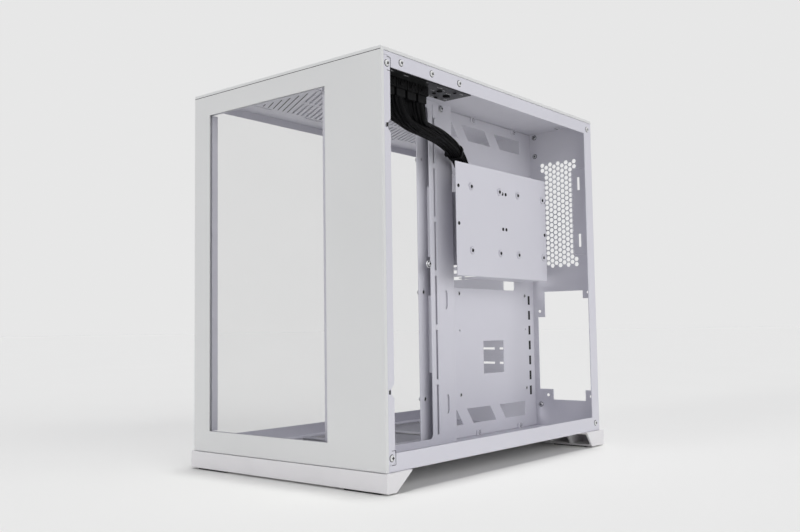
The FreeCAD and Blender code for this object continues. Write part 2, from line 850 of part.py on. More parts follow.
def rear_post_right():
    return rear_post(((RIGHT, REAR - REAR_POST), (RIGHT, REAR), (RIGHT - REAR_WRAP, REAR)))


def rear_post_left():
    edge = INNER_LEFT
    return rear_post(((edge + REAR_WRAP, REAR), (edge, REAR), (edge, REAR - REAR_POST)))


def rear_sheet():
    """The whole flat rear wall, with all its openings."""
    outer = rectangle(INNER_LEFT + REAR_WRAP, RIGHT - REAR_WRAP, FLOOR, CEILING)
    io_right = inward(IO_FROM_RIGHT)
    holes = hex_vent() + [psu_opening()]
    holes.append(rectangle(io_right - IO_SIZE[0], io_right, IO_LOW, IO_LOW + IO_SIZE[1]))
    holes += [bore(x, z, PSU_HOLE) for x, z in psu_holes()]
    x0, x1 = slot_span()
    for i in range(SLOT_COUNT):
        z = slot_height(i)
        holes.append(rectangle(x0, x1, z - SLOT_OPENING[1] / 2, z + SLOT_OPENING[1] / 2))
        holes.append(circle(cover_screw_x(), z, SCREW_HOLE))
    for height in REAR_SLOT_HEIGHTS:
        holes.append(bar(inward(REAR_SLOTS_FROM_RIGHT), height, *REAR_SLOT))
    sheet = blank("y", INNER_REAR, SHEET, outer, holes)
    return sheet.cut(punches("y", INNER_REAR, SHEET, rear_fan_slots()))


def psu_plate_space():
    """The part of the rear wall round the power supply, from the tray to the right side."""
    high = PSU_LOW + PSU_SIZE[1] + PSU_PLATE_RISE
    return box(TRAY, RIGHT, INNER_REAR - SHEET, REAR + SHEET, FLOOR - SHEET, high)


def rear_panel():
    return rear_sheet().cut(psu_plate_space())


def power_supply_plate():
    return rear_sheet().common(psu_plate_space())


def slot_cover(i):
    x0, x1 = slot_span()
    z = slot_height(i)
    outer = rectangle(
        x0 - COVER_TAB, x1 + COVER_LAP, z - COVER_WIDE / 2, z + COVER_WIDE / 2
    )
    pitch = (x1 - x0) / (COVER_HOLES + 1)
    holes = [bar(x0 + pitch * (k + 1), z, *COVER_HOLE) for k in range(COVER_HOLES)]
    holes.append(circle(cover_screw_x(), z, SCREW_HOLE))
    return blank("y", INNER_REAR - COVER_SHEET, COVER_SHEET, outer, holes)


# Tray, fan bracket and drive plate


def board_places():
    """The motherboard's standoffs, as distances behind the front face and heights."""
    edge = BODY_DEPTH - BOARD_REAR_INSET
    rear, *others = HOLE_COLUMNS
    places = [(edge - rear, BOARD_TOP - row) for row in HOLE_ROWS_REAR]
    for column in others:
        places += [(edge - column, BOARD_TOP - row) for row in HOLE_ROWS]
    return places


def truss_cutouts():
    holes = []
    for low in (TRUSS_LOW, TRUSS_HIGH):
        high = low + TRUSS_TALL
        for start, length in zip(TRUSS_STARTS, TRUSS_LENGTHS):
            top = on_tray(start)
            last = start == TRUSS_STARTS[-1]
            holes.append(
                outline(
                    (
                        (top + TRUSS_SLANT, low),
                        (top + length + (0.0 if last else TRUSS_SLANT), low),
                        (top + length, high),
                        (top, high),
                    )
                )
            )
    return holes


def motherboard_tray():
    path = (
        (TRAY - TRAY_FLANGE, INNER_FLOOR),
        (TRAY, INNER_FLOOR),
        (TRAY, INNER_CEILING),
        (TRAY - TRAY_FLANGE, INNER_CEILING),
    )
    tray = folded("y", back(TRAY_FRONT), INNER_REAR - back(TRAY_FRONT), path)
    holes = truss_cutouts()
    holes.append(rectangle(on_tray(CPU_FRONT), on_tray(CPU_REAR), CPU_LOW, CPU_HIGH, CPU_ROUND))
    for y0, y1, z0, z1 in (CABLE_HOLE, FRONT_SLOT_LOW, FRONT_SLOT_HIGH):
        holes.append(rectangle(on_tray(y0), on_tray(y1), z0, z1))
    for i in range(TIE_SLOT_COUNT):
        holes.append(bar(on_tray(TIE_SLOT_FRONT), TIE_SLOT_FIRST + i * TIE_SLOT_PITCH, *TIE_SLOT))
    edge = BODY_DEPTH - BOARD_REAR_INSET
    for column in HOLE_COLUMNS[:2]:
        holes.append(circle(back(edge - column), BOARD_TOP - SPARE_HOLE_ROW, STANDOFF_STUB))
    for front, height in board_places():
        holes.append(circle(back(front), height, STANDOFF_STUB + GAP))
    return tray.cut(punches("x", TRAY - SHEET, SHEET, holes))


def standoffs():
    posts = []
    for front, height in board_places():
        face = Part.Face(hexagon(back(front), height, STANDOFF_ACROSS))
        post = placed(face.extrude(V(0, 0, STANDOFF_HEIGHT)), "x", TRAY - SHEET - STANDOFF_HEIGHT, 0)
        stub = blank("x", TRAY - SHEET, SHEET, circle(back(front), height, STANDOFF_STUB))
        posts.append(post.fuse(stub).removeSplitter())
    return Part.makeCompound(posts)


def fan_bracket():
    face = TRAY + FAN_BRACKET_RISE
    path = (
        (TRAY, back(FAN_BRACKET_FRONT)),
        (face, back(FAN_BRACKET_FRONT)),
        (face, back(FAN_BRACKET_REAR)),
        (TRAY, back(FAN_BRACKET_REAR)),
    )
    bracket = folded("z", INNER_FLOOR, INNER_CEILING - INNER_FLOOR, path)
    rear_row = FAN_BRACKET_REAR - FAN_ROW_INSET
    front_row = rear_row - FAN_PITCH
    holes = [
        rectangle(
            back(front_row + FAN_OPENING_INSET),
            back(rear_row - FAN_OPENING_INSET),
            FAN_OPENING_LOW,
            CEILING - FAN_OPENING_TOP_INSET,
            FAN_OPENING_ROUND,
        )
    ]
    for row in (front_row, rear_row):
        for i in range(FAN_SLOT_COUNT):
            middle = FAN_SLOT_FIRST + i * FAN_SLOT_PITCH
            holes.append(bar(back(row), middle, FAN_SLOT_WIDTH, FAN_SLOT_LENGTH))
    for height in OBLONG_HEIGHTS:
        holes.append(oblong(back(FAN_BRACKET_REAR - OBLONG_INSET), height, *OBLONG))
    return bracket.cut(punches("x", face - SHEET, SHEET, holes))


def drive_holes():
    """Screw holes of the drives: two of each size, side by side."""
    places = []
    rows = ((SSD_FRONTS, SSD_LOW, SSD_HOLES), (HDD_FRONTS, HDD_LOW, HDD_HOLES))
    for fronts, low, (long, tall) in rows:
        for front in fronts:
            for dy in (0.0, long):
                places += [(on_tray(front) + dy, low), (on_tray(front) + dy, low + tall)]
    return places


def drive_plate():
    """A flat plate whose bottom edge is folded back into a shelf for the leads."""
    front, rear = on_tray(PLATE_FRONT), on_tray(PLATE_FRONT + PLATE_LENGTH)
    path = (
        (PLATE - PLATE_SHELF_DEPTH, PLATE_LOW),
        (PLATE, PLATE_LOW),
        (PLATE, PLATE_LOW + PLATE_TALL),
    )
    plate = folded("y", front, rear - front, path)
    shelf_reach = (PLATE - PLATE_SHELF_DEPTH - SHEET, PLATE - SHEET)
    shelf_height = (PLATE_LOW - SHEET, PLATE_LOW + SHEET + BEND)
    plate = plate.cut(box(*shelf_reach, front - SHEET, on_tray(PLATE_SHELF_FRONT), *shelf_height))
    plate = plate.cut(box(*shelf_reach, on_tray(PLATE_SHELF_REAR), rear + SHEET, *shelf_height))
    holes = [circle(y, z, DRIVE_HOLE) for y, z in drive_holes()]
    return plate.cut(punches("x", PLATE - SHEET, SHEET, holes))


def drive_plate_bracket(place, side):
    """A Z-shaped bracket between the tray and the drive plate, its foot to one side."""
    foot = on_tray(place) - side * BRACKET_FOOT
    head = on_tray(place) + side * BRACKET_FOOT
    under = PLATE - SHEET
    base = TRAY + SHEET
    path = ((base, foot), (base, on_tray(place)), (under, on_tray(place)), (under, head))
    if side < 0:
        path = path[::-1]
    return folded("z", BRACKET_LOW, BRACKET_HIGH - BRACKET_LOW, path)


# Feet


def foot(top, bottom, lip, front):
    """A hollow moulded bar under the case, open on its slanting inner side, with ribs across it."""
    x0, x1 = LEFT - BASE_SIDE_LIP, RIGHT + BASE_SIDE_LIP
    edge, facing = (FRONT - lip, 1) if front else (REAR + lip, -1)
    inner_top = edge + facing * (lip + top)
    inner_bottom = edge + facing * (lip + bottom)
    low, high = PAD_TALL, BASE_HEIGHT
    corners = ((edge, low), (edge, high), (inner_top, high), (inner_bottom, low))
    profile = rounded(corners, (FOOT_EDGE_ROUND, 0.0, 0.0, 0.0))
    solid = placed(Part.Face(profile).extrude(V(0, 0, x1 - x0)), "x", x0, 0)
    wall = facing * FOOT_WALL
    slope = (inner_top - inner_bottom) / (high - low)
    open_low, open_high = low + FOOT_WALL, high - FOOT_WALL
    hollow = outline(
        (
            (edge + wall, open_low),
            (edge + wall, open_high),
            (inner_top + wall, open_high),
            (inner_top - slope * (open_high - open_low) + wall, open_low),
        )
    )
    pitch = (x1 - x0 - FOOT_WALL) / FOOT_CELLS
    for i in range(FOOT_CELLS):
        cell = Part.Face(hollow).extrude(V(0, 0, pitch - FOOT_WALL))
        solid = solid.cut(placed(cell, "x", x0 + FOOT_WALL + i * pitch, 0))
    return solid


def foot_pads():
    pads = []
    rear_width = BASE_REAR_LIP + REAR_FOOT_BOTTOM
    spans = (
        (FRONT - BASE_FRONT_LIP + PAD_MARGIN, back(FOOT_BOTTOM) - PAD_MARGIN),
        (REAR + BASE_REAR_LIP - rear_width + PAD_MARGIN, REAR + BASE_REAR_LIP - PAD_MARGIN),
    )
    for y0, y1 in spans:
        for x in (LEFT + PAD_INSET, RIGHT - PAD_INSET - PAD_LONG):
            pads.append(blank("z", 0.0, PAD_TALL, rectangle(x, x + PAD_LONG, y0, y1)))
    return Part.makeCompound(pads)


# Fasteners


def prism(x, y, low, high, diameter, sides):
    """An upright many-sided prism, for round details too small to need true circles."""
    return blank("z", low, high - low, many_sided(x, y, diameter, sides))


def screw(x, y, z, axis):
    """A screw whose head stands on the face at x, y, z and points along axis."""
    head = prism(0, 0, 0, SCREW_HEAD_TALL, SCREW_HEAD, SCREW_SIDES)
    shank = prism(0, 0, -SCREW_LONG, 0, SCREW_SHANK, SCREW_SIDES // 2)
    solid = head.fuse(shank).removeSplitter()
    solid.Placement = FreeCAD.Placement(V(x, y, z), FreeCAD.Rotation(V(0, 0, 1), axis))
    return solid


def side_screws():
    places = [*rail_screws(), *corner_screws()]
    return Part.makeCompound([screw(RIGHT, back(y), z, V(1, 0, 0)) for y, z in places])


def slot_screws():
    places = [(cover_screw_x(), slot_height(i)) for i in range(SLOT_COUNT)]
    return Part.makeCompound([screw(x, REAR, z, V(0, 1, 0)) for x, z in places])


# Control board


BRACKET_Z = CEILING - IO_BRACKET_DROP
PCB_TOP = BRACKET_Z - SHEET - PCB_SPACER
PCB_LOW = PCB_TOP - PCB_THICK
SHELF_TOP = PLATE_LOW + SHEET
SHELF_FIRST = PLATE_FROM_RIGHT + 2 * SHEET + PLUG_SIZE[0] / 2 + GAP
PORT_TOP = CASE_HEIGHT - PORT_RECESS


def io_bracket():
    leg = RIGHT - SHEET
    path = (
        (inward(IO_BRACKET_WIDE), BRACKET_Z - SHEET),
        (leg, BRACKET_Z - SHEET),
        (leg, INNER_CEILING - BEND - GAP),
    )
    length = IO_BRACKET_REAR - IO_BRACKET_FRONT
    bracket = folded("y", back(IO_BRACKET_FRONT), length, path)
    bracket = bracket.cut(punches("z", BRACKET_Z - SHEET, SHEET, [io_window()]))
    screws = [circle(back(y), z, SCREW_HOLE) for y, z in rail_screws()]
    return bracket.cut(punches("x", leg - SHEET, SHEET, screws))


def io_spacers():
    pieces = []
    under = BRACKET_Z - SHEET
    for x in (inward(PCB_NEAR + SPACER_INSET), inward(PCB_FAR - SPACER_INSET)):
        for y in (back(IO_BRACKET_FRONT + SPACER_INSET), back(PCB_REAR - SPACER_INSET)):
            pieces.append(prism(x, y, under - PCB_SPACER, under, SPACER_WIDE, HOLE_SIDES))
    return Part.makeCompound(pieces)


def io_board():
    sheet = rectangle(inward(PCB_FAR), inward(PCB_NEAR), back(PCB_FRONT), back(PCB_REAR))
    return blank("z", PCB_LOW, PCB_THICK, sheet)


def usb_port(front):
    """An upright port: a metal shell with a tongue inside."""
    x, y = inward(PORT_LINE), back(front)
    shell = blank("z", PCB_TOP, PORT_TOP - PCB_TOP, bar(x, y, USB_A[1], USB_A[0]))
    inside = bar(x, y, USB_A[1] - 2 * PORT_WALL, USB_A[0] - 2 * PORT_WALL)
    shell = shell.cut(blank("z", PORT_TOP - PORT_BORE_DEEP, 2 * PORT_BORE_DEEP, inside))
    tongue = bar(x - USB_A[1] / 5, y, USB_A[1] / 4, USB_A[0] - 4 * PORT_WALL)
    floor = PORT_TOP - PORT_BORE_DEEP
    return shell.fuse(blank("z", floor, PORT_BORE_DEEP - PORT_WALL, tongue)).removeSplitter()


def usb_c_port():
    x, y = inward(PORT_LINE), back(USB_C_FRONT)
    shell = blank("z", PCB_TOP, PORT_TOP - PCB_TOP, oblong(x, y, USB_C[1], USB_C[0]))
    inside = bar(x, y, USB_C[1] - 2 * PORT_WALL, USB_C[0] - 4 * PORT_WALL)
    return shell.cut(blank("z", PORT_TOP - PORT_BORE_DEEP, 2 * PORT_BORE_DEEP, inside))


def audio_jack():
    x, y = inward(PORT_LINE), back(AUDIO_FRONT)
    body = prism(x, y, PCB_TOP, PORT_TOP, AUDIO_WIDE, ROUND_SIDES)
    return body.cut(prism(x, y, PORT_TOP - PORT_BORE_DEEP, CASE_HEIGHT, AUDIO_BORE, HOLE_SIDES))


def button(front, wide):
    """A round cap in the lid, kept by a skirt under the sheet, with a stem down to its switch."""
    x, y = inward(PORT_LINE), back(front)
    under = CASE_HEIGHT - LID_SHEET
    cap = prism(x, y, under - GAP, CASE_HEIGHT + BUTTON_PROUD, wide, ROUND_SIDES)
    skirt = prism(x, y, under - GAP - BUTTON_SKIRT, under - GAP, wide + 2 * BUTTON_SKIRT, ROUND_SIDES)
    stem_low = PCB_TOP + SWITCH_TALL + BUTTON_TRAVEL + GAP
    stem = prism(x, y, stem_low, under - GAP - BUTTON_SKIRT, STEM_WIDE, HOLE_SIDES)
    return cap.fuse([skirt, stem]).removeSplitter()


def switches():
    pieces = []
    half = SWITCH_WIDE / 2
    for front in (POWER_FRONT, RESET_FRONT):
        x, y = inward(PORT_LINE), back(front)
        top = PCB_TOP + SWITCH_TALL - SWITCH_PLUNGER
        body = box(x - half, x + half, y - half, y + half, PCB_TOP, top)
        plunger = prism(x, y, top, PCB_TOP + SWITCH_TALL, STEM_WIDE, HOLE_SIDES)
        pieces.append(body.fuse(plunger).removeSplitter())
    return Part.makeCompound(pieces)


def lead_sockets():
    pieces = []
    wide, long, tall = SOCKET_SIZE
    for (distance, front, height), *rest in LEAD_DROPS:
        x, y = inward(PORT_LINE), back(front)
        pieces.append(box(x - wide / 2, x + wide / 2, y - long / 2, y + long / 2, PCB_LOW - tall, PCB_LOW))
    return Part.makeCompound(pieces)


# Leads


def lead_spot(station, column, row):
    """A lead's place in the bundle at a station of inward, back, height and downward tilt."""
    distance, depth, height, tilt = station
    across = (column - 0.5) * LEAD_PITCH
    up = (row - 0.5) * LEAD_PITCH
    slant, dip = math.radians(BUNDLE_SLANT), math.radians(tilt)
    middle = V(inward(distance), back(depth), height)
    sideways = V(math.cos(slant), math.sin(slant), 0)
    upward = V(-math.sin(slant) * math.sin(dip), math.cos(slant) * math.sin(dip), math.cos(dip))
    return middle + sideways * across + upward * up


def lead_points(i):
    """The whole route of a lead, from the mouth of its socket to its connector."""
    column, row = LEAD_COLUMNS[i], LEAD_ROWS[i]
    drop = [V(inward(d), back(y), z) for d, y, z in LEAD_DROPS[i]]
    start = V(drop[0].x, drop[0].y, PCB_LOW - SOCKET_SIZE[2])
    points = [start, *drop]
    points += [lead_spot(station, column, row) for station in BUNDLE_STATIONS]
    x = inward(SHELF_FIRST + LEAD_LAYERS[i] * SHELF_PITCH)
    aside = (row - 0.5) * LEAD_PITCH
    points += [V(x, back(depth) + aside, height) for depth, height in SHELF_DROP]
    points += [V(x, back(depth) + aside, SHELF_TOP + PLUG_SIZE[2] / 2) for depth in SHELF_RUN]
    return points


def plug(end):
    """The connector at the end of a lead, lying on the shelf."""
    wide, long, tall = PLUG_SIZE
    return box(end.x - wide / 2, end.x + wide / 2, end.y, end.y + long, SHELF_TOP, SHELF_TOP + tall)


def cable_tie():
    """A strap round the bundle, halfway between two stations, with its head on top."""
    places = [lead_spot(BUNDLE_STATIONS[k], 0.5, 0.5) for k in TIE_STATIONS]
    middle = (places[0] + places[1]) / 2
    heading = (places[1] - places[0]).normalize()
    inner_half = (LEAD_PITCH + LEAD_DIAMETER) / 2 + GAP
    outer_half = inner_half + TIE_THICK
    inner = bar(0, 0, 2 * inner_half, 2 * inner_half)
    outer = bar(0, 0, 2 * outer_half, 2 * outer_half)
    face = Part.makeFace([outer, inner], "Part::FaceMakerBullseye")
    strap = face.extrude(V(0, 0, TIE_WIDE))
    half = TIE_HEAD / 2
    head = box(inner_half, inner_half + TIE_HEAD, -half, half, -TIE_THICK / 2, TIE_WIDE + TIE_THICK / 2)
    tie = strap.fuse(head).removeSplitter()
    tie.translate(V(0, 0, -TIE_WIDE / 2))
    turn = FreeCAD.Rotation(V(0, 0, 0), V(0, 0, 1), heading, "ZYX")
    tie.Placement = FreeCAD.Placement(middle, turn).multiply(tie.Placement)
    return tie


def tube(points, diameter):
    """A round tube along straight runs that are joined by the largest tangent arcs."""
    spots = points
    edges = []
    radii = []
    start = spots[0]
    for i in range(1, len(spots) - 1):
        corner = spots[i]
        to_before = spots[i - 1] - corner
        to_after = spots[i + 1] - corner
        turn = math.pi - to_before.getAngle(to_after)
        reach = 0.45 * min(to_before.Length, to_after.Length)
        radius = reach / math.tan(turn / 2)
        to_before.normalize()
        to_after.normalize()
        first = corner + to_before * reach
        last = corner + to_after * reach
        bisector = (to_before + to_after).normalize()
        half = (math.pi - turn) / 2
        middle = corner + bisector * (radius / math.sin(half) - radius)
        edges.append(Part.LineSegment(start, first).toShape())
        edges.append(Part.Arc(first, middle, last).toShape())
        start = last
        radii.append(radius)
    edges.append(Part.LineSegment(start, spots[-1]).toShape())
    path = Part.Wire(edges)
    ring = many_sided(0, 0, diameter, LEAD_SIDES)
    ring.Placement = FreeCAD.Placement(spots[0], FreeCAD.Rotation(V(0, 0, 1), spots[1] - spots[0]))
    solid = path.makePipeShell([ring], True, False)
    expected = LEAD_SIDES / 8 * math.sin(2 * math.pi / LEAD_SIDES) * diameter**2 * path.Length
    share = solid.Volume / expected
    print(f"lead of {path.Length:.0f} mm, least radius {min(radii):.1f}, volume {share:.4f}")
    return solid


def main():
    save("front_panel", front_panel())
    save("front_glass", front_glass())
    save("side_glass", side_glass())
    save("top_panel", top_panel())
    rim, mesh = top_filter()
    save("top_filter_rim", rim)
    save("top_filter_mesh", mesh)
    rim, mesh = floor_filter()
    save("floor_filter_rim", rim)
    save("floor_filter_mesh", mesh)
    save("chassis_bottom", chassis_bottom())
    save("chassis_top", chassis_top())
    save("front_frame", front_frame())
    save("rear_panel", rear_panel())
    save("power_supply_plate", power_supply_plate())
    save("rear_post_right", rear_post_right())
    save("rear_post_left", rear_post_left())
    for i in range(SLOT_COUNT):
        save(f"slot_cover_{i + 1}", slot_cover(i))
    save("motherboard_tray", motherboard_tray())
    save("board_standoffs", standoffs())
    save("fan_bracket", fan_bracket())
    save("drive_plate", drive_plate())
    save("drive_plate_bracket_front", drive_plate_bracket(BRACKET_FRONT, 1))
    save("drive_plate_bracket_rear", drive_plate_bracket(BRACKET_REAR, -1))
    save("front_foot", foot(FOOT_TOP, FOOT_BOTTOM, BASE_FRONT_LIP, True))
    save("rear_foot", foot(REAR_FOOT_TOP, REAR_FOOT_BOTTOM, BASE_REAR_LIP, False))
    save("foot_pads", foot_pads())
    save("side_screws", side_screws())
    save("slot_screws", slot_screws())
    save("io_bracket", io_bracket())
    save("io_spacers", io_spacers())
    save("io_board", io_board())
    for i, front in enumerate(USB_FRONTS):
        save(f"usb_port_{i + 1}", usb_port(front))
    save("usb_c_port", usb_c_port())
    save("audio_jack", audio_jack())
    save("power_button", button(POWER_FRONT, POWER_WIDE))
    save("reset_button", button(RESET_FRONT, RESET_WIDE))
    save("button_switches", switches())
    save("lead_sockets", lead_sockets())
    for i in range(len(LEAD_DROPS)):
        points = lead_points(i)
        save(f"lead_{i + 1}", tube(points, LEAD_DIAMETER))
        save(f"lead_plug_{i + 1}", plug(points[-1]))
    save("cable_tie", cable_tie())


main()
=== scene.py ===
import json
import math

import bmesh
import bpy
from bpy.props import FloatProperty, FloatVectorProperty, PointerProperty
from mathutils import Matrix, Vector


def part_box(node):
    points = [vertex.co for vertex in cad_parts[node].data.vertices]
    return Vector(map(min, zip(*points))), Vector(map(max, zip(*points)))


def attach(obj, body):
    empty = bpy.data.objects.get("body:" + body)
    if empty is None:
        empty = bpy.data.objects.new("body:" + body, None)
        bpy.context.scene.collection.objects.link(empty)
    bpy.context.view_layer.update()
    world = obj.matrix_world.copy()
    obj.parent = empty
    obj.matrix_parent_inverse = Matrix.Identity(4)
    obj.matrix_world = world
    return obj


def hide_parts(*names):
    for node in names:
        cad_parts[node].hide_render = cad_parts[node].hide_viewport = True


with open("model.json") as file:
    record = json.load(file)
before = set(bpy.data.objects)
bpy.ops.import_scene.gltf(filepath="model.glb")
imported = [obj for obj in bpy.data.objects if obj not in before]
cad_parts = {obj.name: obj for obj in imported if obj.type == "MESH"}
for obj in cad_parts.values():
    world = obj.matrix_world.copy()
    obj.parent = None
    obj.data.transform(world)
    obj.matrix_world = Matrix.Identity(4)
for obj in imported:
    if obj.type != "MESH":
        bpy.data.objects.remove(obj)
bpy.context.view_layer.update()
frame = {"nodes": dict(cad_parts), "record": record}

bl_info = {
    "name": "Dual Chamber Case Dressing",
    "version": (1, 0, 0),
    "blender": (4, 5, 0),
    "location": "View3D > Sidebar > Case",
    "description": "Finishes, leads and small fittings for a white dual chamber computer case",
    "category": "Object",
}

NODES = frame["nodes"]
MM = 0.001

RIGHTWARD = (1, 0, 0)
FRONTWARD = (0, -1, 0)
REARWARD = (0, 1, 0)
UPWARD = (0, 0, 1)
DOWNWARD = (0, 0, -1)

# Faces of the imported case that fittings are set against
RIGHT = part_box("chassis_top")[1].x
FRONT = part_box("front_panel")[0].y
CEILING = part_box("chassis_top")[1].z
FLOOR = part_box("chassis_bottom")[0].z
TRAY_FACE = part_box("motherboard_tray")[1].x
PLATE_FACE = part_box("drive_plate")[1].x
BRACKET_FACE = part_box("fan_bracket")[1].x
REAR_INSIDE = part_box("rear_panel")[0].y
REAR_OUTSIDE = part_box("rear_panel")[1].y
BOARD_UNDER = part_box("io_board")[0].z
SHEET = REAR_OUTSIDE - REAR_INSIDE

# Route of the leads in millimetres: inward from the right side, back from the front face, and up
LEAD_DROPS = (
    ((30.4, 38.0, 391.0), (31.4, 44.0, 380.0), (34.2, 60.0, 372.5), (38.5, 90.0, 369.2)),
    ((23.6, 56.0, 391.0), (24.6, 62.0, 380.0), (27.6, 77.5, 372.6), (32.6, 101.0, 369.4)),
    ((30.4, 74.0, 390.2), (32.0, 79.4, 380.9), (35.4, 88.8, 375.8), (39.6, 106.0, 375.4)),
    ((23.6, 92.0, 390.2), (25.4, 97.4, 380.9), (29.6, 106.8, 376.0)),
)
# Each lead's column and row in the bundle, its layer on the drive plate's shelf, and its length
LEAD_COLUMNS = (0, 1, 0, 1)
LEAD_ROWS = (0, 0, 1, 1)
LEAD_LAYERS = (3, 0, 2, 1)
LEAD_LENGTHS = (387.0, 371.0, 361.0, 345.0)
LEAD_PITCH = 6.8
# Middle of the bundle on its way: inward, back, up, and its downward tilt in degrees
BUNDLE_SLANT = 15.5
BUNDLE_STATIONS = (
    (41.0, 127.6, 372.3, 2.0),
    (51.0, 165.5, 372.0, 4.0),
    (60.0, 198.5, 368.0, 18.0),
    (67.8, 225.5, 358.0, 24.0),
    (73.5, 249.5, 334.0, 62.0),
)
TIE_STATIONS = (2, 3)
# Behind the drive plate: down to its shelf, as back and up, and back along the shelf
SHELF_DROP = ((259.0, 297.0), (264.0, 252.0), (275.0, 231.5))
SHELF_RUN = (295.0, 314.0)
SHELF_LEAD_UP = 220.0
SHELF_FIRST = 59.5
SHELF_PITCH = 7.0

# Shares of a lead's length between which its thin wires close up, join it and are drawn in
WIRES_CLOSE_UP = (0.0, 0.22)
WIRES_JOIN = (0.5, 0.6)
WIRES_DRAW_IN = (0.58, 0.66)
WIRES_TIGHTEST = 0.3
WIRE_SIDES = 8

# Places in millimetres, back from the front face and up, that several fittings share
SOCKET_BACKS = (38.0, 56.0, 74.0, 92.0)
PORT_LINE = 27.0
RAIL_SCREWS = ((30.8, 418.0), (81.6, 418.0), (130.7, 418.0))
FRONT_CORNERS = ((8.7, 413.2), (8.7, 33.5))
REAR_CORNERS = ((424.0, 416.5), (424.0, 30.0))
RING_HOLES = [(back, up) for back in (228.2, 289.9, 332.8, 394.5) for up in (246.9, 323.5)]
DISK_HOLES = [(back, up) for back in (202.4, 297.65, 305.0, 400.25) for up in (277.5, 321.95)]

# A screw's form in shares of its head's radius and rise
SCREW_SIDES = 24
SCREW_CROWN = ((1.0, 0.0), (1.0, 0.4), (0.9, 0.78), (0.68, 1.0))
CROSS_ARM = 0.6
CROSS_HALF = 0.19
CROSS_DEPTH = 0.7
THREAD_CREST = 0.5
THREAD_ROOT = 0.42
THREAD_TIP = 0.3
THREAD_SIDES = 12
# Where the crest and the root of a thread end, in shares of its pitch
THREAD_ENDS = (0.3, 0.8)
# The painted shade ring round a screw's head, near-black, as a share of its radius and a height in metres
SCREW_SHADE_RING = ((1.22, 0.00002), (1.2, 0.00006), (1.0, 0.00006))
THREAD_PITCH = 0.0005
TIP_LENGTH = 0.0004

# The span that most values of a noise lie in
NOISE_LOW = 0.3
NOISE_HIGH = 0.7
EVEN = (1.0, 1.0, 1.0)


def spot(inward, back, up):
    """A place in the case, given in millimetres from its right side, its front face and the ground."""
    return Vector((RIGHT - inward * MM, FRONT + back * MM, up * MM))


def on_face(face, back, up):
    """A place on an upright face, given in millimetres from the front face and the ground."""
    return Vector((face, FRONT + back * MM, up * MM))


# Settings


class CaseColours(bpy.types.PropertyGroup):
    """Colours of the case's finishes."""

    outer_white: FloatVectorProperty(
        name="Outer white", description="Powder coat of the front and the lid",
        subtype="COLOR", default=(0.715, 0.72, 0.71), min=0.0, max=1.0,
    )
    inner_white: FloatVectorProperty(
        name="Inner white", description="Powder coat of the folded chassis",
        subtype="COLOR", default=(0.665, 0.66, 0.71), min=0.0, max=1.0,
    )
    moulded_white: FloatVectorProperty(
        name="Moulded white", description="Plastic of the feet, filter rims and buttons",
        subtype="COLOR", default=(0.77, 0.76, 0.765), min=0.0, max=1.0,
    )
    mesh_grey: FloatVectorProperty(
        name="Mesh grey", description="Strands of the dust filters",
        subtype="COLOR", default=(0.60, 0.60, 0.63), min=0.0, max=1.0,
    )
    glass_tint: FloatVectorProperty(
        name="Glass tint", description="Colour of the clear glass",
        subtype="COLOR", default=(0.10, 0.11, 0.11), min=0.0, max=1.0,
    )
    black: FloatVectorProperty(
        name="Black", description="Sheaths, sockets and connectors",
        subtype="COLOR", default=(0.004, 0.004, 0.0045), min=0.0, max=1.0,
    )
    # In the tie slots and the latch windows this black is painted shade
    rubber: FloatVectorProperty(
        name="Rubber", description="Foot pads, grommets and strips in the tie slots",
        subtype="COLOR", default=(0.014, 0.014, 0.014), min=0.0, max=1.0,
    )
    lacquer: FloatVectorProperty(
        name="Lacquer", description="Lacquer of the control board",
        subtype="COLOR", default=(0.014, 0.015, 0.015), min=0.0, max=1.0,
    )
    # Painted shade: this near-black stands in for the shade of screw recesses and threads, seams, tab edges,
    # the vent's corner slots and post mouths
    recess: FloatVectorProperty(
        name="Recess", description="Screw recesses, threads and dark seams",
        subtype="COLOR", default=(0.05, 0.05, 0.055), min=0.0, max=1.0,
    )
    steel: FloatVectorProperty(
        name="Steel", description="Ports, board posts and inner screws",
        subtype="COLOR", default=(0.62, 0.62, 0.64), min=0.0, max=1.0,
    )
    brass: FloatVectorProperty(
        name="Brass", description="Spacers of the control board and contacts of the connectors",
        subtype="COLOR", default=(0.60, 0.54, 0.42), min=0.0, max=1.0,
    )
    tin: FloatVectorProperty(
        name="Tin", description="Solder joints of the control board",
        subtype="COLOR", default=(0.70, 0.70, 0.71), min=0.0, max=1.0,
    )
    backdrop: FloatVectorProperty(
        name="Backdrop", description="Pale ground and background",
        subtype="COLOR", default=(0.80, 0.80, 0.80), min=0.0, max=1.0,
    )
    dome_tint: FloatVectorProperty(
        name="Dome tint", description="Tint of the even light from all round",
        subtype="COLOR", default=(0.94, 0.94, 1.12), min=0.0, soft_max=2.0,
    )


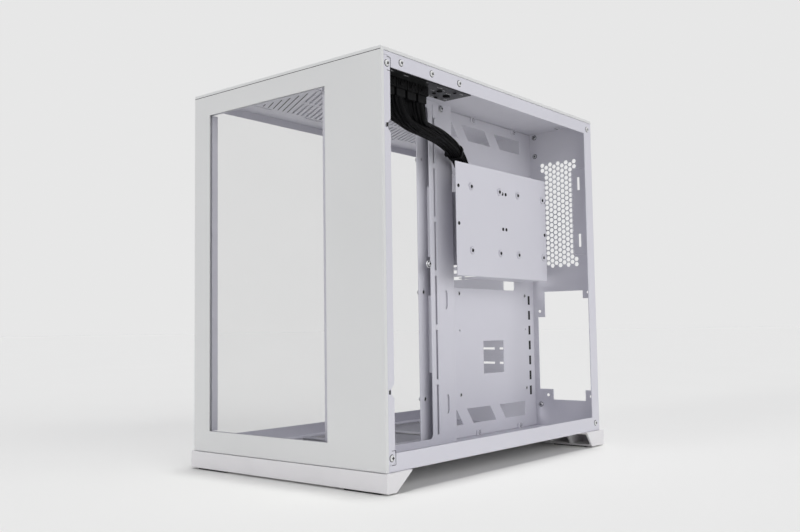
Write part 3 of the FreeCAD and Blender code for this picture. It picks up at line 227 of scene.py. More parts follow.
class CaseSizes(bpy.types.PropertyGroup):
    """Sizes of the fittings that dress the case."""

    lead_diameter: FloatProperty(
        name="Lead diameter", description="Thickness of each panel lead",
        default=0.0058, min=0.001, unit="LENGTH",
    )
    wire_diameter: FloatProperty(
        name="Wire diameter", description="Thickness of the thin wires round each lead",
        default=0.0026, min=0.0005, unit="LENGTH",
    )
    wire_offset: FloatProperty(
        name="Wire offset", description="How far the thin wires lie from their lead's middle",
        default=0.0032, min=0.001, unit="LENGTH",
    )
    wire_row: FloatProperty(
        name="Wire row", description="Spacing of the thin wires where they leave a plug",
        default=0.0022, min=0.0005, unit="LENGTH",
    )
    strand_pitch: FloatProperty(
        name="Strand pitch", description="Spacing of the filter strands",
        default=0.0016, min=0.0008, unit="LENGTH",
    )
    strand_width: FloatProperty(
        name="Strand width", description="Width of a filter strand",
        default=0.0009, min=0.0001, unit="LENGTH",
    )
    screw_head: FloatProperty(
        name="Screw head", description="Radius of the case screws' heads",
        default=0.003, min=0.001, unit="LENGTH",
    )
    screw_rise: FloatProperty(
        name="Screw rise", description="How far a case screw's head stands out",
        default=0.0016, min=0.0005, unit="LENGTH",
    )
    dimple_radius: FloatProperty(
        name="Dimple radius", description="Radius of the pressed rings round the drive holes",
        default=0.0046, min=0.002, unit="LENGTH",
    )


class CaseLight(bpy.types.PropertyGroup):
    """Camera and studio light."""

    dome: FloatProperty(
        name="Dome", description="Strength of the even light from all round",
        default=0.2, min=0.0,
    )
    right_light: FloatProperty(
        name="Right light", description="Strength of the wide light on the open side",
        default=1.95, min=0.0,
    )
    front_light: FloatProperty(
        name="Front light", description="Strength of the low light on the glass front",
        default=0.8, min=0.0,
    )
    top_light: FloatProperty(
        name="Top light", description="Strength of the light from above",
        default=1.8, min=0.0,
    )
    bounce: FloatProperty(
        name="Bounce", description="Further light on the open floor, from the wide lamp's rim and the case",
        default=0.05, min=0.0,
    )
    right_light_spread: FloatProperty(
        name="Right spread", description="Apparent width of the light on the open side",
        default=math.radians(75), subtype="ANGLE",
    )
    front_light_spread: FloatProperty(
        name="Front spread", description="Apparent width of the light on the glass front",
        default=math.radians(14), subtype="ANGLE",
    )
    top_light_spread: FloatProperty(
        name="Top spread", description="Apparent width of the light from above",
        default=math.radians(8), subtype="ANGLE",
    )
    lens: FloatProperty(
        name="Lens", description="Focal length on a 36 mm wide sensor", default=39.88, min=1.0,
    )


# Finishes


def new_material(name):
    """A new material with its node tree and its shader."""
    material = bpy.data.materials.new(name)
    material.use_nodes = True
    return material, material.node_tree, material.node_tree.nodes["Principled BSDF"]


def noise(tree, scale, detail=2.0, stretch=EVEN):
    """Noise laid out in the case's own metres."""
    place = tree.nodes.new("ShaderNodeTexCoord")
    mapping = tree.nodes.new("ShaderNodeMapping")
    texture = tree.nodes.new("ShaderNodeTexNoise")
    mapping.inputs["Scale"].default_value = stretch
    texture.inputs["Scale"].default_value = scale
    texture.inputs["Detail"].default_value = detail
    tree.links.new(place.outputs["Object"], mapping.inputs["Vector"])
    tree.links.new(mapping.outputs["Vector"], texture.inputs["Vector"])
    return texture.outputs["Fac"]


def drift(tree, shader, source, colour, share):
    """Lets the colour drift by a share to either side over the surface."""
    ramp = tree.nodes.new("ShaderNodeValToRGB")
    low, high = ramp.color_ramp.elements
    low.position, high.position = NOISE_LOW, NOISE_HIGH
    low.color = (*[c * (1 - share) for c in colour], 1.0)
    high.color = (*[min(1.0, c * (1 + share)) for c in colour], 1.0)
    tree.links.new(source, ramp.inputs["Fac"])
    tree.links.new(ramp.outputs["Color"], shader.inputs["Base Color"])


def polish(tree, shader, source, low, high):
    """Lets the roughness drift between two values."""
    spread = tree.nodes.new("ShaderNodeMapRange")
    spread.inputs["From Min"].default_value = NOISE_LOW
    spread.inputs["From Max"].default_value = NOISE_HIGH
    spread.inputs["To Min"].default_value = low
    spread.inputs["To Max"].default_value = high
    tree.links.new(source, spread.inputs["Value"])
    tree.links.new(spread.outputs["Result"], shader.inputs["Roughness"])


def grain(tree, shader, source, strength, distance):
    """Raises a fine grain on the surface."""
    bump = tree.nodes.new("ShaderNodeBump")
    bump.inputs["Strength"].default_value = strength
    bump.inputs["Distance"].default_value = distance
    tree.links.new(source, bump.inputs["Height"])
    tree.links.new(bump.outputs["Normal"], shader.inputs["Normal"])


def powder_coat(name, colour):
    """Satin powder coat with a fine orange peel."""
    material, tree, shader = new_material(name)
    drift(tree, shader, noise(tree, scale=6.0, detail=3.0), colour, share=0.018)
    polish(tree, shader, noise(tree, scale=90.0, detail=3.0), low=0.46, high=0.58)
    grain(tree, shader, noise(tree, scale=1300.0), strength=0.22, distance=0.00004)
    shader.inputs["Specular IOR Level"].default_value = 0.35
    return material


def moulding(name, colour, low=0.55, high=0.68, sheen=0.35):
    """Matte moulded plastic or rubber with a spark-eroded grain."""
    material, tree, shader = new_material(name)
    drift(tree, shader, noise(tree, scale=14.0), colour, share=0.025)
    polish(tree, shader, noise(tree, scale=220.0), low, high)
    grain(tree, shader, noise(tree, scale=2400.0, detail=3.0), strength=0.3, distance=0.00005)
    shader.inputs["Specular IOR Level"].default_value = sheen
    return material


def bare_metal(name, colour, low, high, stretch=EVEN):
    """Metal with drawn or turned marks."""
    material, tree, shader = new_material(name)
    drift(tree, shader, noise(tree, 60.0, 3.0, stretch), colour, share=0.08)
    polish(tree, shader, noise(tree, 500.0, 3.0, stretch), low, high)
    grain(tree, shader, noise(tree, 1800.0, 2.0, stretch), strength=0.15, distance=0.00003)
    shader.inputs["Metallic"].default_value = 1.0
    return material


def glazing(name, colour):
    """Clear glass: a thin veil of its own tint, with faint wiping marks."""
    material, tree, shader = new_material(name)
    shader.inputs["Base Color"].default_value = (*colour, 1.0)
    shader.inputs["IOR"].default_value = 1.48
    marks = noise(tree, scale=18.0, detail=4.0, stretch=(1.0, 1.0, 3.0))
    polish(tree, shader, marks, low=0.03, high=0.07)
    grain(tree, shader, noise(tree, scale=12.0), strength=0.02, distance=0.0005)
    veil = tree.nodes.new("ShaderNodeMapRange")
    veil.inputs["To Min"].default_value = 0.03
    veil.inputs["To Max"].default_value = 0.045
    streaks = noise(tree, scale=9.0, detail=4.0, stretch=(1.0, 1.0, 2.0))
    tree.links.new(streaks, veil.inputs["Value"])
    tree.links.new(veil.outputs["Result"], shader.inputs["Alpha"])
    return material


def solder_mask(name, colour):
    """Lacquer of the control board, with faint copper runs under it."""
    material, tree, shader = new_material(name)
    runs = {"scale": 320.0, "detail": 0.0, "stretch": (1.0, 0.25, 1.0)}
    drift(tree, shader, noise(tree, **runs), colour, share=0.35)
    polish(tree, shader, noise(tree, scale=700.0), low=0.28, high=0.42)
    grain(tree, shader, noise(tree, **runs), strength=0.35, distance=0.00006)
    return material


# How each finish is made, its colour in the settings, its roughness, and its sheen or marks
FINISHES = {
    "outer_white": (powder_coat, "outer_white"),
    "inner_white": (powder_coat, "inner_white"),
    "moulded_white": (moulding, "moulded_white"),
    "mesh_grey": (moulding, "mesh_grey"),
    "window_glass": (glazing, "glass_tint"),
    "pad_rubber": (moulding, "rubber", 0.72, 0.86),
    "matte_black": (moulding, "black", 0.46, 0.6, 0.1),
    "lead_black": (moulding, "black", 0.42, 0.56, 0.05),
    "board_lacquer": (solder_mask, "lacquer"),
    # painted shade: near-black metal where recesses, seams and slots are dark with shade
    "drive_recess": (bare_metal, "recess", 0.4, 0.6),
    "plated_steel": (bare_metal, "steel", 0.24, 0.4, (1.0, 1.0, 0.1)),
    "turned_brass": (bare_metal, "brass", 0.3, 0.46, (0.1, 1.0, 1.0)),
    "solder_tin": (bare_metal, "tin", 0.18, 0.34),
}


def finish(name):
    """The named finish, made on first use."""
    made = bpy.data.materials.get(name)
    if made:
        return made
    maker, colour, *values = FINISHES[name]
    return maker(name, getattr(bpy.context.scene.case_colours, colour), *values)


def coat(node, name):
    """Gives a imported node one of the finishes."""
    mesh = NODES[node].data
    mesh.materials.clear()
    mesh.materials.append(finish(name))


# Mesh building


def axes_for(axis):
    """Three axes, of which the third is the given one."""
    return Vector(axis).to_track_quat("Z", "Y").to_matrix()


def add_box(bm, low, high, bevel=0.0, material=0):
    """A block between two corners, its edges eased where a bevel is given."""
    low, high = Vector(low), Vector(high)
    matrix = Matrix.Translation((low + high) / 2) @ Matrix.Diagonal((*(high - low), 1.0))
    verts = bmesh.ops.create_cube(bm, size=1.0, matrix=matrix)["verts"]
    for face in {f for v in verts for f in v.link_faces}:
        face.material_index = material
    if bevel > 0.0:
        edges = list({e for v in verts for e in v.link_edges})
        bmesh.ops.bevel(
            bm, geom=edges, offset=bevel, offset_type="OFFSET", segments=2, profile=0.5,
            affect="EDGES", clamp_overlap=True, material=material,
        )


def add_block(bm, place, low, high, bevel=0.0, material=0):
    """A block between two corners that are given, as its bevel is, in millimetres from a place."""
    add_box(bm, place + Vector(low) * MM, place + Vector(high) * MM, bevel * MM, material)


def join_loops(bm, loops, material=0, smooth=False):
    """Spans neighbouring loops of points with faces."""
    for a, b in zip(loops, loops[1:]):
        for k in range(len(a)):
            after = (k + 1) % len(a)
            face = bm.faces.new((a[k], a[after], b[after], b[k]))
            face.material_index = material
            face.smooth = smooth


def add_ring(bm, origin, axes, radius, height, count):
    """A ring of points round the third of three axes, at a height along it."""
    ring = []
    for k in range(count):
        angle = 2 * math.pi * k / count
        local = Vector((radius * math.cos(angle), radius * math.sin(angle), height))
        ring.append(bm.verts.new(origin + axes @ local))
    return ring


def add_rings(bm, origin, axis, profile, count, material=0):
    """A turned surface. The profile lists radius and height; the first and last ring are returned."""
    origin, axes = Vector(origin), axes_for(axis)
    rings = [add_ring(bm, origin, axes, radius, height, count) for radius, height in profile]
    join_loops(bm, rings, material, smooth=True)
    return rings[0], rings[-1]


def add_turned(bm, origin, axis, profile, count):
    """A closed turned form, flat at both ends."""
    first, last = add_rings(bm, origin, axis, profile, count)
    bm.faces.new(first[::-1])
    bm.faces.new(last)


def add_screw(bm, origin, axis, size, turn):
    """A pan-head screw with a cross recess and a threaded shank, whose recess, thread and a ring round its
    head are near-black painted shade. Its size is radius, rise and shank.
    """
    origin = Vector(origin)
    radius, rise, shank = size
    crown = [(out * radius, up * rise) for out, up in SCREW_CROWN]
    foot, top = add_rings(bm, origin, axis, crown, SCREW_SIDES)
    spin = axes_for(axis) @ Matrix.Rotation(turn, 3, "Z")
    arm, half = CROSS_ARM * radius, CROSS_HALF * radius
    cross = []
    for quarter in range(4):
        swing = Matrix.Rotation(quarter * math.pi / 2, 3, "Z")
        cross += [swing @ Vector(p) for p in ((arm, -half, 0), (arm, half, 0), (half, half, 0))]
    upper, lower = [
        [bm.verts.new(origin + spin @ (p + Vector((0, 0, height)))) for p in cross]
        for height in (rise, rise - CROSS_DEPTH * rise)
    ]
    rim = [bm.edges.new(pair) for pair in zip(upper, upper[1:] + upper[:1])]
    ring = [bm.edges.get(pair) for pair in zip(top, top[1:] + top[:1])]
    bmesh.ops.bridge_loops(bm, edges=rim + ring)
    # The recess's walls and floor take the second finish, painted shade
    join_loops(bm, (upper, lower), material=1)
    bm.faces.new(lower).material_index = 1
    # A thin near-black ring round the head's foot: painted shade where the head meets the sheet
    line = [(out * radius, height) for out, height in SCREW_SHADE_RING]
    add_rings(bm, origin, axis, line, SCREW_SIDES, material=1)
    crest_end, root_end = THREAD_ENDS
    thread = [(THREAD_CREST * radius, 0.0)]
    for k in range(int(shank / THREAD_PITCH)):
        thread.append((THREAD_CREST * radius, -THREAD_PITCH * (k + crest_end)))
        thread.append((THREAD_ROOT * radius, -THREAD_PITCH * (k + root_end)))
    thread.append((THREAD_TIP * radius, -shank - TIP_LENGTH))
    _, tip = add_rings(bm, origin, axis, thread, THREAD_SIDES, material=1)
    bm.faces.new(tip[::-1]).material_index = 1
    bm.faces.new(foot[::-1])


def rounded_corners(half_wide, half_tall, radius, steps):
    """Points round a rectangle whose corners are drawn with a radius about its own corners."""
    points = []
    for corner, (right, top) in enumerate(((1, 1), (-1, 1), (-1, -1), (1, -1))):
        for k in range(steps + 1):
            angle = (corner + k / steps) * math.pi / 2
            x = right * half_wide + radius * math.cos(angle)
            y = top * half_tall + radius * math.sin(angle)
            points.append((x, y))
    return points


def make_piece(name, bm, finishes, body="case"):
    """Turns a mesh into a piece that rides on a body."""
    bmesh.ops.recalc_face_normals(bm, faces=bm.faces)
    mesh = bpy.data.meshes.new(name)
    bm.to_mesh(mesh)
    bm.free()
    piece = bpy.data.objects.new(name, mesh)
    bpy.context.scene.collection.objects.link(piece)
    for each in finishes:
        mesh.materials.append(finish(each))
    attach(piece, body)
    return piece


# Leads


def lead_spot(station, column, row):
    """A lead's place in the bundle at a station of inward, back, height and downward tilt."""
    inward, back, up, tilt = station
    across = (column - 0.5) * LEAD_PITCH * MM
    lift = (row - 0.5) * LEAD_PITCH * MM
    slant, dip = math.radians(BUNDLE_SLANT), math.radians(tilt)
    sideways = Vector((math.cos(slant), math.sin(slant), 0))
    upward = Vector((-math.sin(slant) * math.sin(dip), math.cos(slant) * math.sin(dip), math.cos(dip)))
    return spot(inward, back, up) + sideways * across + upward * lift


def lead_route(i):
    """The route of a lead, from the mouth of its socket to its connector on the shelf."""
    column, row = LEAD_COLUMNS[i], LEAD_ROWS[i]
    drop = [spot(*place) for place in LEAD_DROPS[i]]
    start = Vector((drop[0].x, drop[0].y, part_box("lead_sockets")[0].z))
    route = [start, *drop]
    route += [lead_spot(station, column, row) for station in BUNDLE_STATIONS]
    inward = SHELF_FIRST + LEAD_LAYERS[i] * SHELF_PITCH
    aside = (row - 0.5) * LEAD_PITCH
    route += [spot(inward, back + aside, up) for back, up in SHELF_DROP]
    route += [spot(inward, back + aside, SHELF_LEAD_UP) for back in SHELF_RUN]
    return route


def draw_lead(i, diameter):
    """A lead as one smooth spline along its route."""
    route = lead_route(i)
    curve = bpy.data.curves.new(f"panel_lead_{i + 1}", "CURVE")
    curve.dimensions = "3D"
    spline = curve.splines.new("NURBS")
    spline.points.add(len(route) - 1)
    for point, place in zip(spline.points, route):
        point.co = (*place, 1.0)
    spline.order_u = 3
    spline.use_endpoint_u = True
    curve.resolution_u = 12
    curve.bevel_depth = diameter / 2
    curve.bevel_resolution = 5
    curve.use_fill_caps = True
    curve.materials.append(finish("lead_black"))
    lead = bpy.data.objects.new(curve.name, curve)
    bpy.context.scene.collection.objects.link(lead)
    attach(lead, "case")
    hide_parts(f"lead_{i + 1}")
    return lead


def centre_line(lead):
    """Points along a lead's own line, close together."""
    bare = lead.copy()
    bare.data = lead.data.copy()
    bare.data.bevel_depth = 0.0
    line = bpy.data.meshes.new_from_object(bare)
    points = [v.co.copy() for v in line.vertices]
    bpy.data.meshes.remove(line)
    curve = bare.data
    bpy.data.objects.remove(bare)
    bpy.data.curves.remove(curve)
    return points


def at_share(points, share):
    """The place on a line at a share of its length."""
    left = share * sum((b - a).length for a, b in zip(points, points[1:]))
    for a, b in zip(points, points[1:]):
        step = (b - a).length
        if left <= step:
            return a.lerp(b, left / step)
        left -= step
    return points[-1].copy()


def fade(share, start, end):
    """Falls from 1 to 0 between two shares of a lead's length."""
    return max(0.0, min(1.0, (end - share) / (end - start)))


def line_between(line, other, part, count=90):
    """A line that starts between two leads and joins the first of them behind the plate."""
    between = []
    for n in range(count + 1):
        share = n / count
        apart = part * fade(share, *WIRES_JOIN)
        between.append(at_share(line, share).lerp(at_share(other, share), apart))
    return between


def add_wires(bm, points, count, sizes, twist):
    """Thin wires that leave a plug side by side, close up round a line and are drawn in behind the plate."""
    runs = [(b - a).length for a, b in zip(points, points[1:])]
    total = sum(runs)
    across = (points[1] - points[0]).orthogonal().normalized()
    wires = [[] for _ in range(count)]
    gone = 0.0
    for n, point in enumerate(points):
        ahead = (points[min(n + 1, len(points) - 1)] - points[max(n - 1, 0)]).normalized()
        across = (across - ahead * across.dot(ahead)).normalized()
        upward = ahead.cross(across)
        axes = Matrix((across, upward, ahead)).transposed()
        share = gone / total
        offset = sizes.wire_offset * max(WIRES_TIGHTEST, fade(share, *WIRES_DRAW_IN))
        closed = 1.0 - fade(share, *WIRES_CLOSE_UP)
        closed = closed * closed * (3 - 2 * closed)
        for k, wire in enumerate(wires):
            turn = 2 * math.pi * k / count + twist * share
            round_line = (across * math.cos(turn) + upward * math.sin(turn)) * offset
            in_row = Vector((0, (k - (count - 1) / 2) * sizes.wire_row, 0))
            middle = point + in_row.lerp(round_line, closed)
            wire.append(add_ring(bm, middle, axes, sizes.wire_diameter / 2, 0.0, WIRE_SIDES))
        if n < len(runs):
            gone += runs[n]
    for wire in wires:
        join_loops(bm, wire, smooth=True)
        bm.faces.new(wire[0][::-1])
        bm.faces.new(wire[-1])


class CASE_OT_lay_leads(bpy.types.Operator):
    """Lay the four panel leads and their thin wires from the sockets to the connectors"""

    bl_idname = "dual_case.lay_leads"
    bl_label = "Lay leads"

    wires_round = 7
    wires_between = 4
    parts_between = (0.33, 0.67)
    first_twist = 4.0

    def execute(self, context):
        sizes = context.scene.case_sizes
        diameter = sizes.lead_diameter
        leads = [draw_lead(i, diameter) for i in range(len(LEAD_LENGTHS))]
        lines = [centre_line(lead) for lead in leads]
        for i, (lead, length) in enumerate(zip(leads, LEAD_LENGTHS)):
            twist = self.first_twist + i
            bm = bmesh.new()
            add_wires(bm, lines[i], self.wires_round, sizes, twist)
            if i + 1 < len(lines):
                for part in self.parts_between:
                    line = line_between(lines[i], lines[i + 1], part)
                    add_wires(bm, line, self.wires_between, sizes, twist)
            wires = make_piece(f"lead_wires_{i + 1}", bm, ["lead_black"])
            lead_route(i)[0]
        return {"FINISHED"}


class CASE_OT_tie_leads(bpy.types.Operator):
    """Strap the bundle of leads with a cable tie"""

    bl_idname = "dual_case.tie_leads"
    bl_label = "Tie leads"

    strap_thick = 0.0012
    strap_wide = 0.004
    corner_steps = 6
    # Corners and bevel in millimetres from the strap's outside
    lock = ((-0.8, -3.0, -2.6), (4.2, 3.0, 2.6), 0.6)
    tail = ((0.8, 3.0, -1.8), (2.0, 5.5, 1.8), 0.3)

    def execute(self, context):
        first, second = [lead_spot(BUNDLE_STATIONS[k], 0.5, 0.5) for k in TIE_STATIONS]
        heading = (second - first).normalized()
        upward = (Vector(UPWARD) - heading * heading.z).normalized()
        sideways = upward.cross(heading)
        turn = Matrix((sideways, upward, heading)).transposed().to_4x4()
        sizes = context.scene.case_sizes
        inner = sizes.wire_offset + sizes.wire_diameter / 2
        outer = inner + self.strap_thick
        reach = LEAD_PITCH * MM / 2
        half = self.strap_wide / 2
        bm = bmesh.new()
        loops = []
        for radius, along in ((inner, half), (inner, -half), (outer, -half), (outer, half)):
            corners = rounded_corners(reach, reach, radius, self.corner_steps)
            loops.append([bm.verts.new((x, y, along)) for x, y in corners])
        join_loops(bm, loops + loops[:1])
        outside = Vector((reach + outer, 0, 0))
        add_block(bm, outside, *self.lock)
        add_block(bm, outside, *self.tail)
        bm.transform(Matrix.Translation((first + second) / 2) @ turn)
        tie = make_piece("bundle_tie", bm, ["matte_black"])
        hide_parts("cable_tie")
        return {"FINISHED"}


class CASE_OT_detail_connectors(bpy.types.Operator):
    """Give the sockets and the leads' connectors their ribs, latches and contacts"""

    bl_idname = "dual_case.detail_connectors"
    bl_label = "Detail connectors"

    # Corners and bevel in millimetres from the middle of a socket's mouth
    latch = ((7.6, -3.5, 3.0), (9.2, 3.5, 6.5), 0.4)
    lip = ((-6.2, -7.4, -0.6), (-4.6, 7.4, 0.2), 0.2)
    plug = ((-6.8, -7.2, -8.5), (6.8, 7.2, 0.2), 0.9)
    # Ribs on a socket's sides: places along it, half thickness and half width, ends within its height
    rib_backs = (-5.0, 0.0, 5.0)
    rib_half = (0.4, 0.8)
    rib_ends = (1.5, 0.5)
    rib_bevel = 0.2
    # Grips across a connector's top: back from its front, inset from its sides, width, foot and crest
    grip_backs = (4.0, 7.0, 10.0)
    grip_inset = 0.6
    grip_wide = 1.2
    grip_rise = (-0.2, 0.3)
    grip_bevel = 0.1
    # Contacts: shares of a connector's width, then corners, bevel and finish from its rear edge
    contact_shares = (0.32, 0.68)
    contact = ((-0.4, -4.0, -0.2), (0.4, -1.5, 0.15), 0.0, 1)

    def execute(self, context):
        low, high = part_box("lead_sockets")
        half, tall = (high.x - low.x) / 2, (high.z - low.z) / MM
        mouths = [spot(PORT_LINE, back, low.z / MM) for back in SOCKET_BACKS]
        thick, wide = self.rib_half
        foot, head = self.rib_ends
        bm = bmesh.new()
        for mouth in mouths:
            for wall in (Vector((-half, 0, 0)), Vector((half, 0, 0))):
                for back in self.rib_backs:
                    ends = ((-thick, back - wide, foot), (thick, back + wide, tall - head))
                    add_block(bm, mouth + wall, *ends, self.rib_bevel)
            add_block(bm, mouth, *self.latch)
            add_block(bm, mouth, *self.lip)
        make_piece("socket_ribs", bm, ["matte_black"])
        bm = bmesh.new()
        for mouth in mouths:
            add_block(bm, mouth, *self.plug)
        make_piece("socket_plugs", bm, ["matte_black"])
        for i in range(len(LEAD_LENGTHS)):
            self.grip_plug(i + 1)
        return {"FINISHED"}

    def grip_plug(self, number):
        """Grips and contacts on top of the connector at a lead's far end."""
        name = f"lead_plug_{number}"
        coat(name, "matte_black")
        low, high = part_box(name)
        front = Vector((low.x, low.y, high.z))
        far_side = (high.x - low.x) / MM - self.grip_inset
        foot, crest = self.grip_rise
        bm = bmesh.new()
        for back in self.grip_backs:
            ends = ((self.grip_inset, back, foot), (far_side, back + self.grip_wide, crest))
            add_block(bm, front, *ends, self.grip_bevel)
        for share in self.contact_shares:
            rear = Vector((low.x + (high.x - low.x) * share, high.y, high.z))
            add_block(bm, rear, *self.contact)
        make_piece(f"plug_grip_{number}", bm, ["matte_black", "turned_brass"])


# Sheet metal and glass


class CASE_OT_paint_sheets(bpy.types.Operator):
    """Powder coat the front, the lid and the folded chassis"""

    bl_idname = "dual_case.paint_sheets"
    bl_label = "Paint sheets"

    outer = ("front_panel", "top_panel")

    def execute(self, context):
        for row in frame["record"]["subparts"]:
            if row["material_slot"] == "white_paint":
                coat(row["node"], "outer_white" if row["node"] in self.outer else "inner_white")
        return {"FINISHED"}


class CASE_OT_glaze_windows(bpy.types.Operator):
    """Glaze the front window and the left side"""

    bl_idname = "dual_case.glaze_windows"
    bl_label = "Glaze windows"

    def execute(self, context):
        for node in ("front_glass", "side_glass"):
            coat(node, "window_glass")
        return {"FINISHED"}


class CASE_OT_mould_plastics(bpy.types.Operator):
    """Finish the feet, their pads, the filter rims and the buttons"""

    bl_idname = "dual_case.mould_plastics"
    bl_label = "Mould plastics"

    white = ("front_foot", "rear_foot", "top_filter_rim", "floor_filter_rim", "power_button", "reset_button")

    def execute(self, context):
        for node in self.white:
            coat(node, "moulded_white")
        coat("foot_pads", "pad_rubber")
        return {"FINISHED"}


class CASE_OT_weave_filters(bpy.types.Operator):
    """Weave the dust meshes of the lid and the floor from crossing strands"""

    bl_idname = "dual_case.weave_filters"
    bl_label = "Weave filters"

    def execute(self, context):
        sizes = context.scene.case_sizes
        pitch, half = sizes.strand_pitch, sizes.strand_width / 2
        for place in ("top", "floor"):
            low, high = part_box(f"{place}_filter_mesh")
            middle = (low.z + high.z) / 2
            bm = bmesh.new()
            for k in range(int((high.x - low.x) / pitch)):
                x = low.x + (k + 0.5) * pitch
                add_box(bm, (x - half, low.y, middle), (x + half, high.y, high.z))
            for k in range(int((high.y - low.y) / pitch)):
                y = low.y + (k + 0.5) * pitch
                add_box(bm, (low.x, y - half, low.z), (high.x, y + half, middle))
            mesh = make_piece(f"{place}_filter_weave", bm, ["mesh_grey"])
            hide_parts(f"{place}_filter_mesh")
        return {"FINISHED"}


class CASE_OT_drive_case_screws(bpy.types.Operator):
    """Drive the white screws of the open side and of the slot covers"""

    bl_idname = "dual_case.drive_case_screws"
    bl_label = "Drive case screws"

    shank = 0.005
    slot_covers = 7
    # Where the first screw of a row comes to rest, and how much further each next one turns
    side_turns = (0.4, 0.7)
    slot_turns = (0.3, 0.9)

    def execute(self, context):
        sizes = context.scene.case_sizes
        size = (sizes.screw_head, sizes.screw_rise, self.shank)
        first, further = self.side_turns
        bm = bmesh.new()
        for i, (back, up) in enumerate((*RAIL_SCREWS, *FRONT_CORNERS, *REAR_CORNERS)):
            add_screw(bm, on_face(RIGHT, back, up), RIGHTWARD, size, first + further * i)
        screws = make_piece("open_side_screws", bm, ["outer_white", "drive_recess"])
        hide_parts("side_screws")
        low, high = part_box("slot_screws")
        column = (low.x + high.x) / 2
        first, further = self.slot_turns
        bm = bmesh.new()
        for i in range(self.slot_covers):
            low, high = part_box(f"slot_cover_{i + 1}")
            origin = (column, REAR_OUTSIDE, (low.z + high.z) / 2)
            add_screw(bm, origin, REARWARD, size, first + further * i)
        screws = make_piece("slot_cover_screws", bm, ["outer_white", "drive_recess"])
        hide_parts("slot_screws")
        return {"FINISHED"}


class CASE_OT_drive_inner_screws(bpy.types.Operator):
    """Drive the steel screws of the fan bracket, the rear panel's flange and the ceiling"""

    bl_idname = "dual_case.drive_inner_screws"
    bl_label = "Drive inner screws"

    # Places in millimetres: back and up, inward and up, and inward and back
    bracket_places = ((208.0, 418.5), (179.0, 230.0))
    rear_places = ((86.0, 420.0), (86.0, 393.5), (86.0, 49.6))
    ceiling_place = (44.0, 424.0)
    # Radius, rise and shank, and the washer's radius and height
    bracket_size = (0.003, 0.0016, 0.001)
    flange_size = (0.0028, 0.0014, 0.001)
    washer = ((0.0048, 0.0), (0.0048, 0.0005), (0.004, 0.001), (0.0036, 0.001))
    washer_sides = 28
    bracket_turn = 0.3
    rear_turns = (0.2, 0.5)
    ceiling_turn = 0.6

    def execute(self, context):
        bm = bmesh.new()
        washer_top = Vector((self.washer[-1][1], 0, 0))
        for back, up in self.bracket_places:
            place = on_face(BRACKET_FACE, back, up)
            add_turned(bm, place, RIGHTWARD, self.washer, self.washer_sides)
            add_screw(bm, place + washer_top, RIGHTWARD, self.bracket_size, self.bracket_turn)
        make_piece("bracket_screws", bm, ["plated_steel", "drive_recess"])
        first, further = self.rear_turns
        bm = bmesh.new()
        for i, (inward, up) in enumerate(self.rear_places):
            place = spot(inward, 0, up)
            place.y = REAR_INSIDE
            add_screw(bm, place, FRONTWARD, self.flange_size, first + further * i)
        place = spot(*self.ceiling_place, 0)
        place.z = CEILING - SHEET
        add_screw(bm, place, DOWNWARD, self.flange_size, self.ceiling_turn)
        make_piece("flange_screws", bm, ["plated_steel", "drive_recess"])
        return {"FINISHED"}


class CASE_OT_press_sheets(bpy.types.Operator):
    """Press rings round the drive holes, a ridge round the rear slots and a boss in the fan bracket"""

    bl_idname = "dual_case.press_sheets"
    bl_label = "Press sheets"

    # A ring's section: share of its radius and height
    ring_crest = ((1.0, 0.0), (0.94, 0.0021), (0.8, 0.0024), (0.5, 0.0008), (0.34, 0.0))
    ring_sides = 32
    # The ridge in millimetres, and its section: corner radius and height
    ridge_inward = (15.0, 25.0)
    ridge_up = (256.0, 363.0)
    ridge_section = ((0.0056, 0.0), (0.0053, 0.0006), (0.0048, 0.0006), (0.0045, 0.0))
    ridge_steps = 5
    # The boss in millimetres: back and up, then corners and bevel from there
    boss_place = (195.0, 412.9)
    boss = ((-0.4, -4.0, -8.0), (0.8, 4.0, 8.0), 0.7)

    def execute(self, context):
        radius = context.scene.case_sizes.dimple_radius
        crest = [(out * radius, height) for out, height in self.ring_crest]
        bm = bmesh.new()
        for back, up in RING_HOLES:
            add_rings(bm, on_face(PLATE_FACE, back, up), RIGHTWARD, crest, self.ring_sides)
        make_piece("drive_hole_rings", bm, ["inner_white"])
        self.press_ridge()
        bm = bmesh.new()
        add_block(bm, on_face(BRACKET_FACE, *self.boss_place), *self.boss)
        make_piece("bracket_boss", bm, ["inner_white"])
        return {"FINISHED"}

    def press_ridge(self):
        """A rounded ridge on the inner face of the rear panel, round its two tall slots."""
        near, far = self.ridge_inward
        low, high = self.ridge_up
        middle = spot((near + far) / 2, 0, (low + high) / 2)
        half_wide, half_tall = (far - near) / 2 * MM, (high - low) / 2 * MM
        bm = bmesh.new()
        loops = []
        for radius, height in self.ridge_section:
            corners = rounded_corners(half_wide, half_tall, radius, self.ridge_steps)
            face = REAR_INSIDE - height
            loops.append([bm.verts.new((middle.x + x, face, middle.z + z)) for x, z in corners])
        join_loops(bm, loops)
        make_piece("rear_slot_ridge", bm, ["inner_white"])


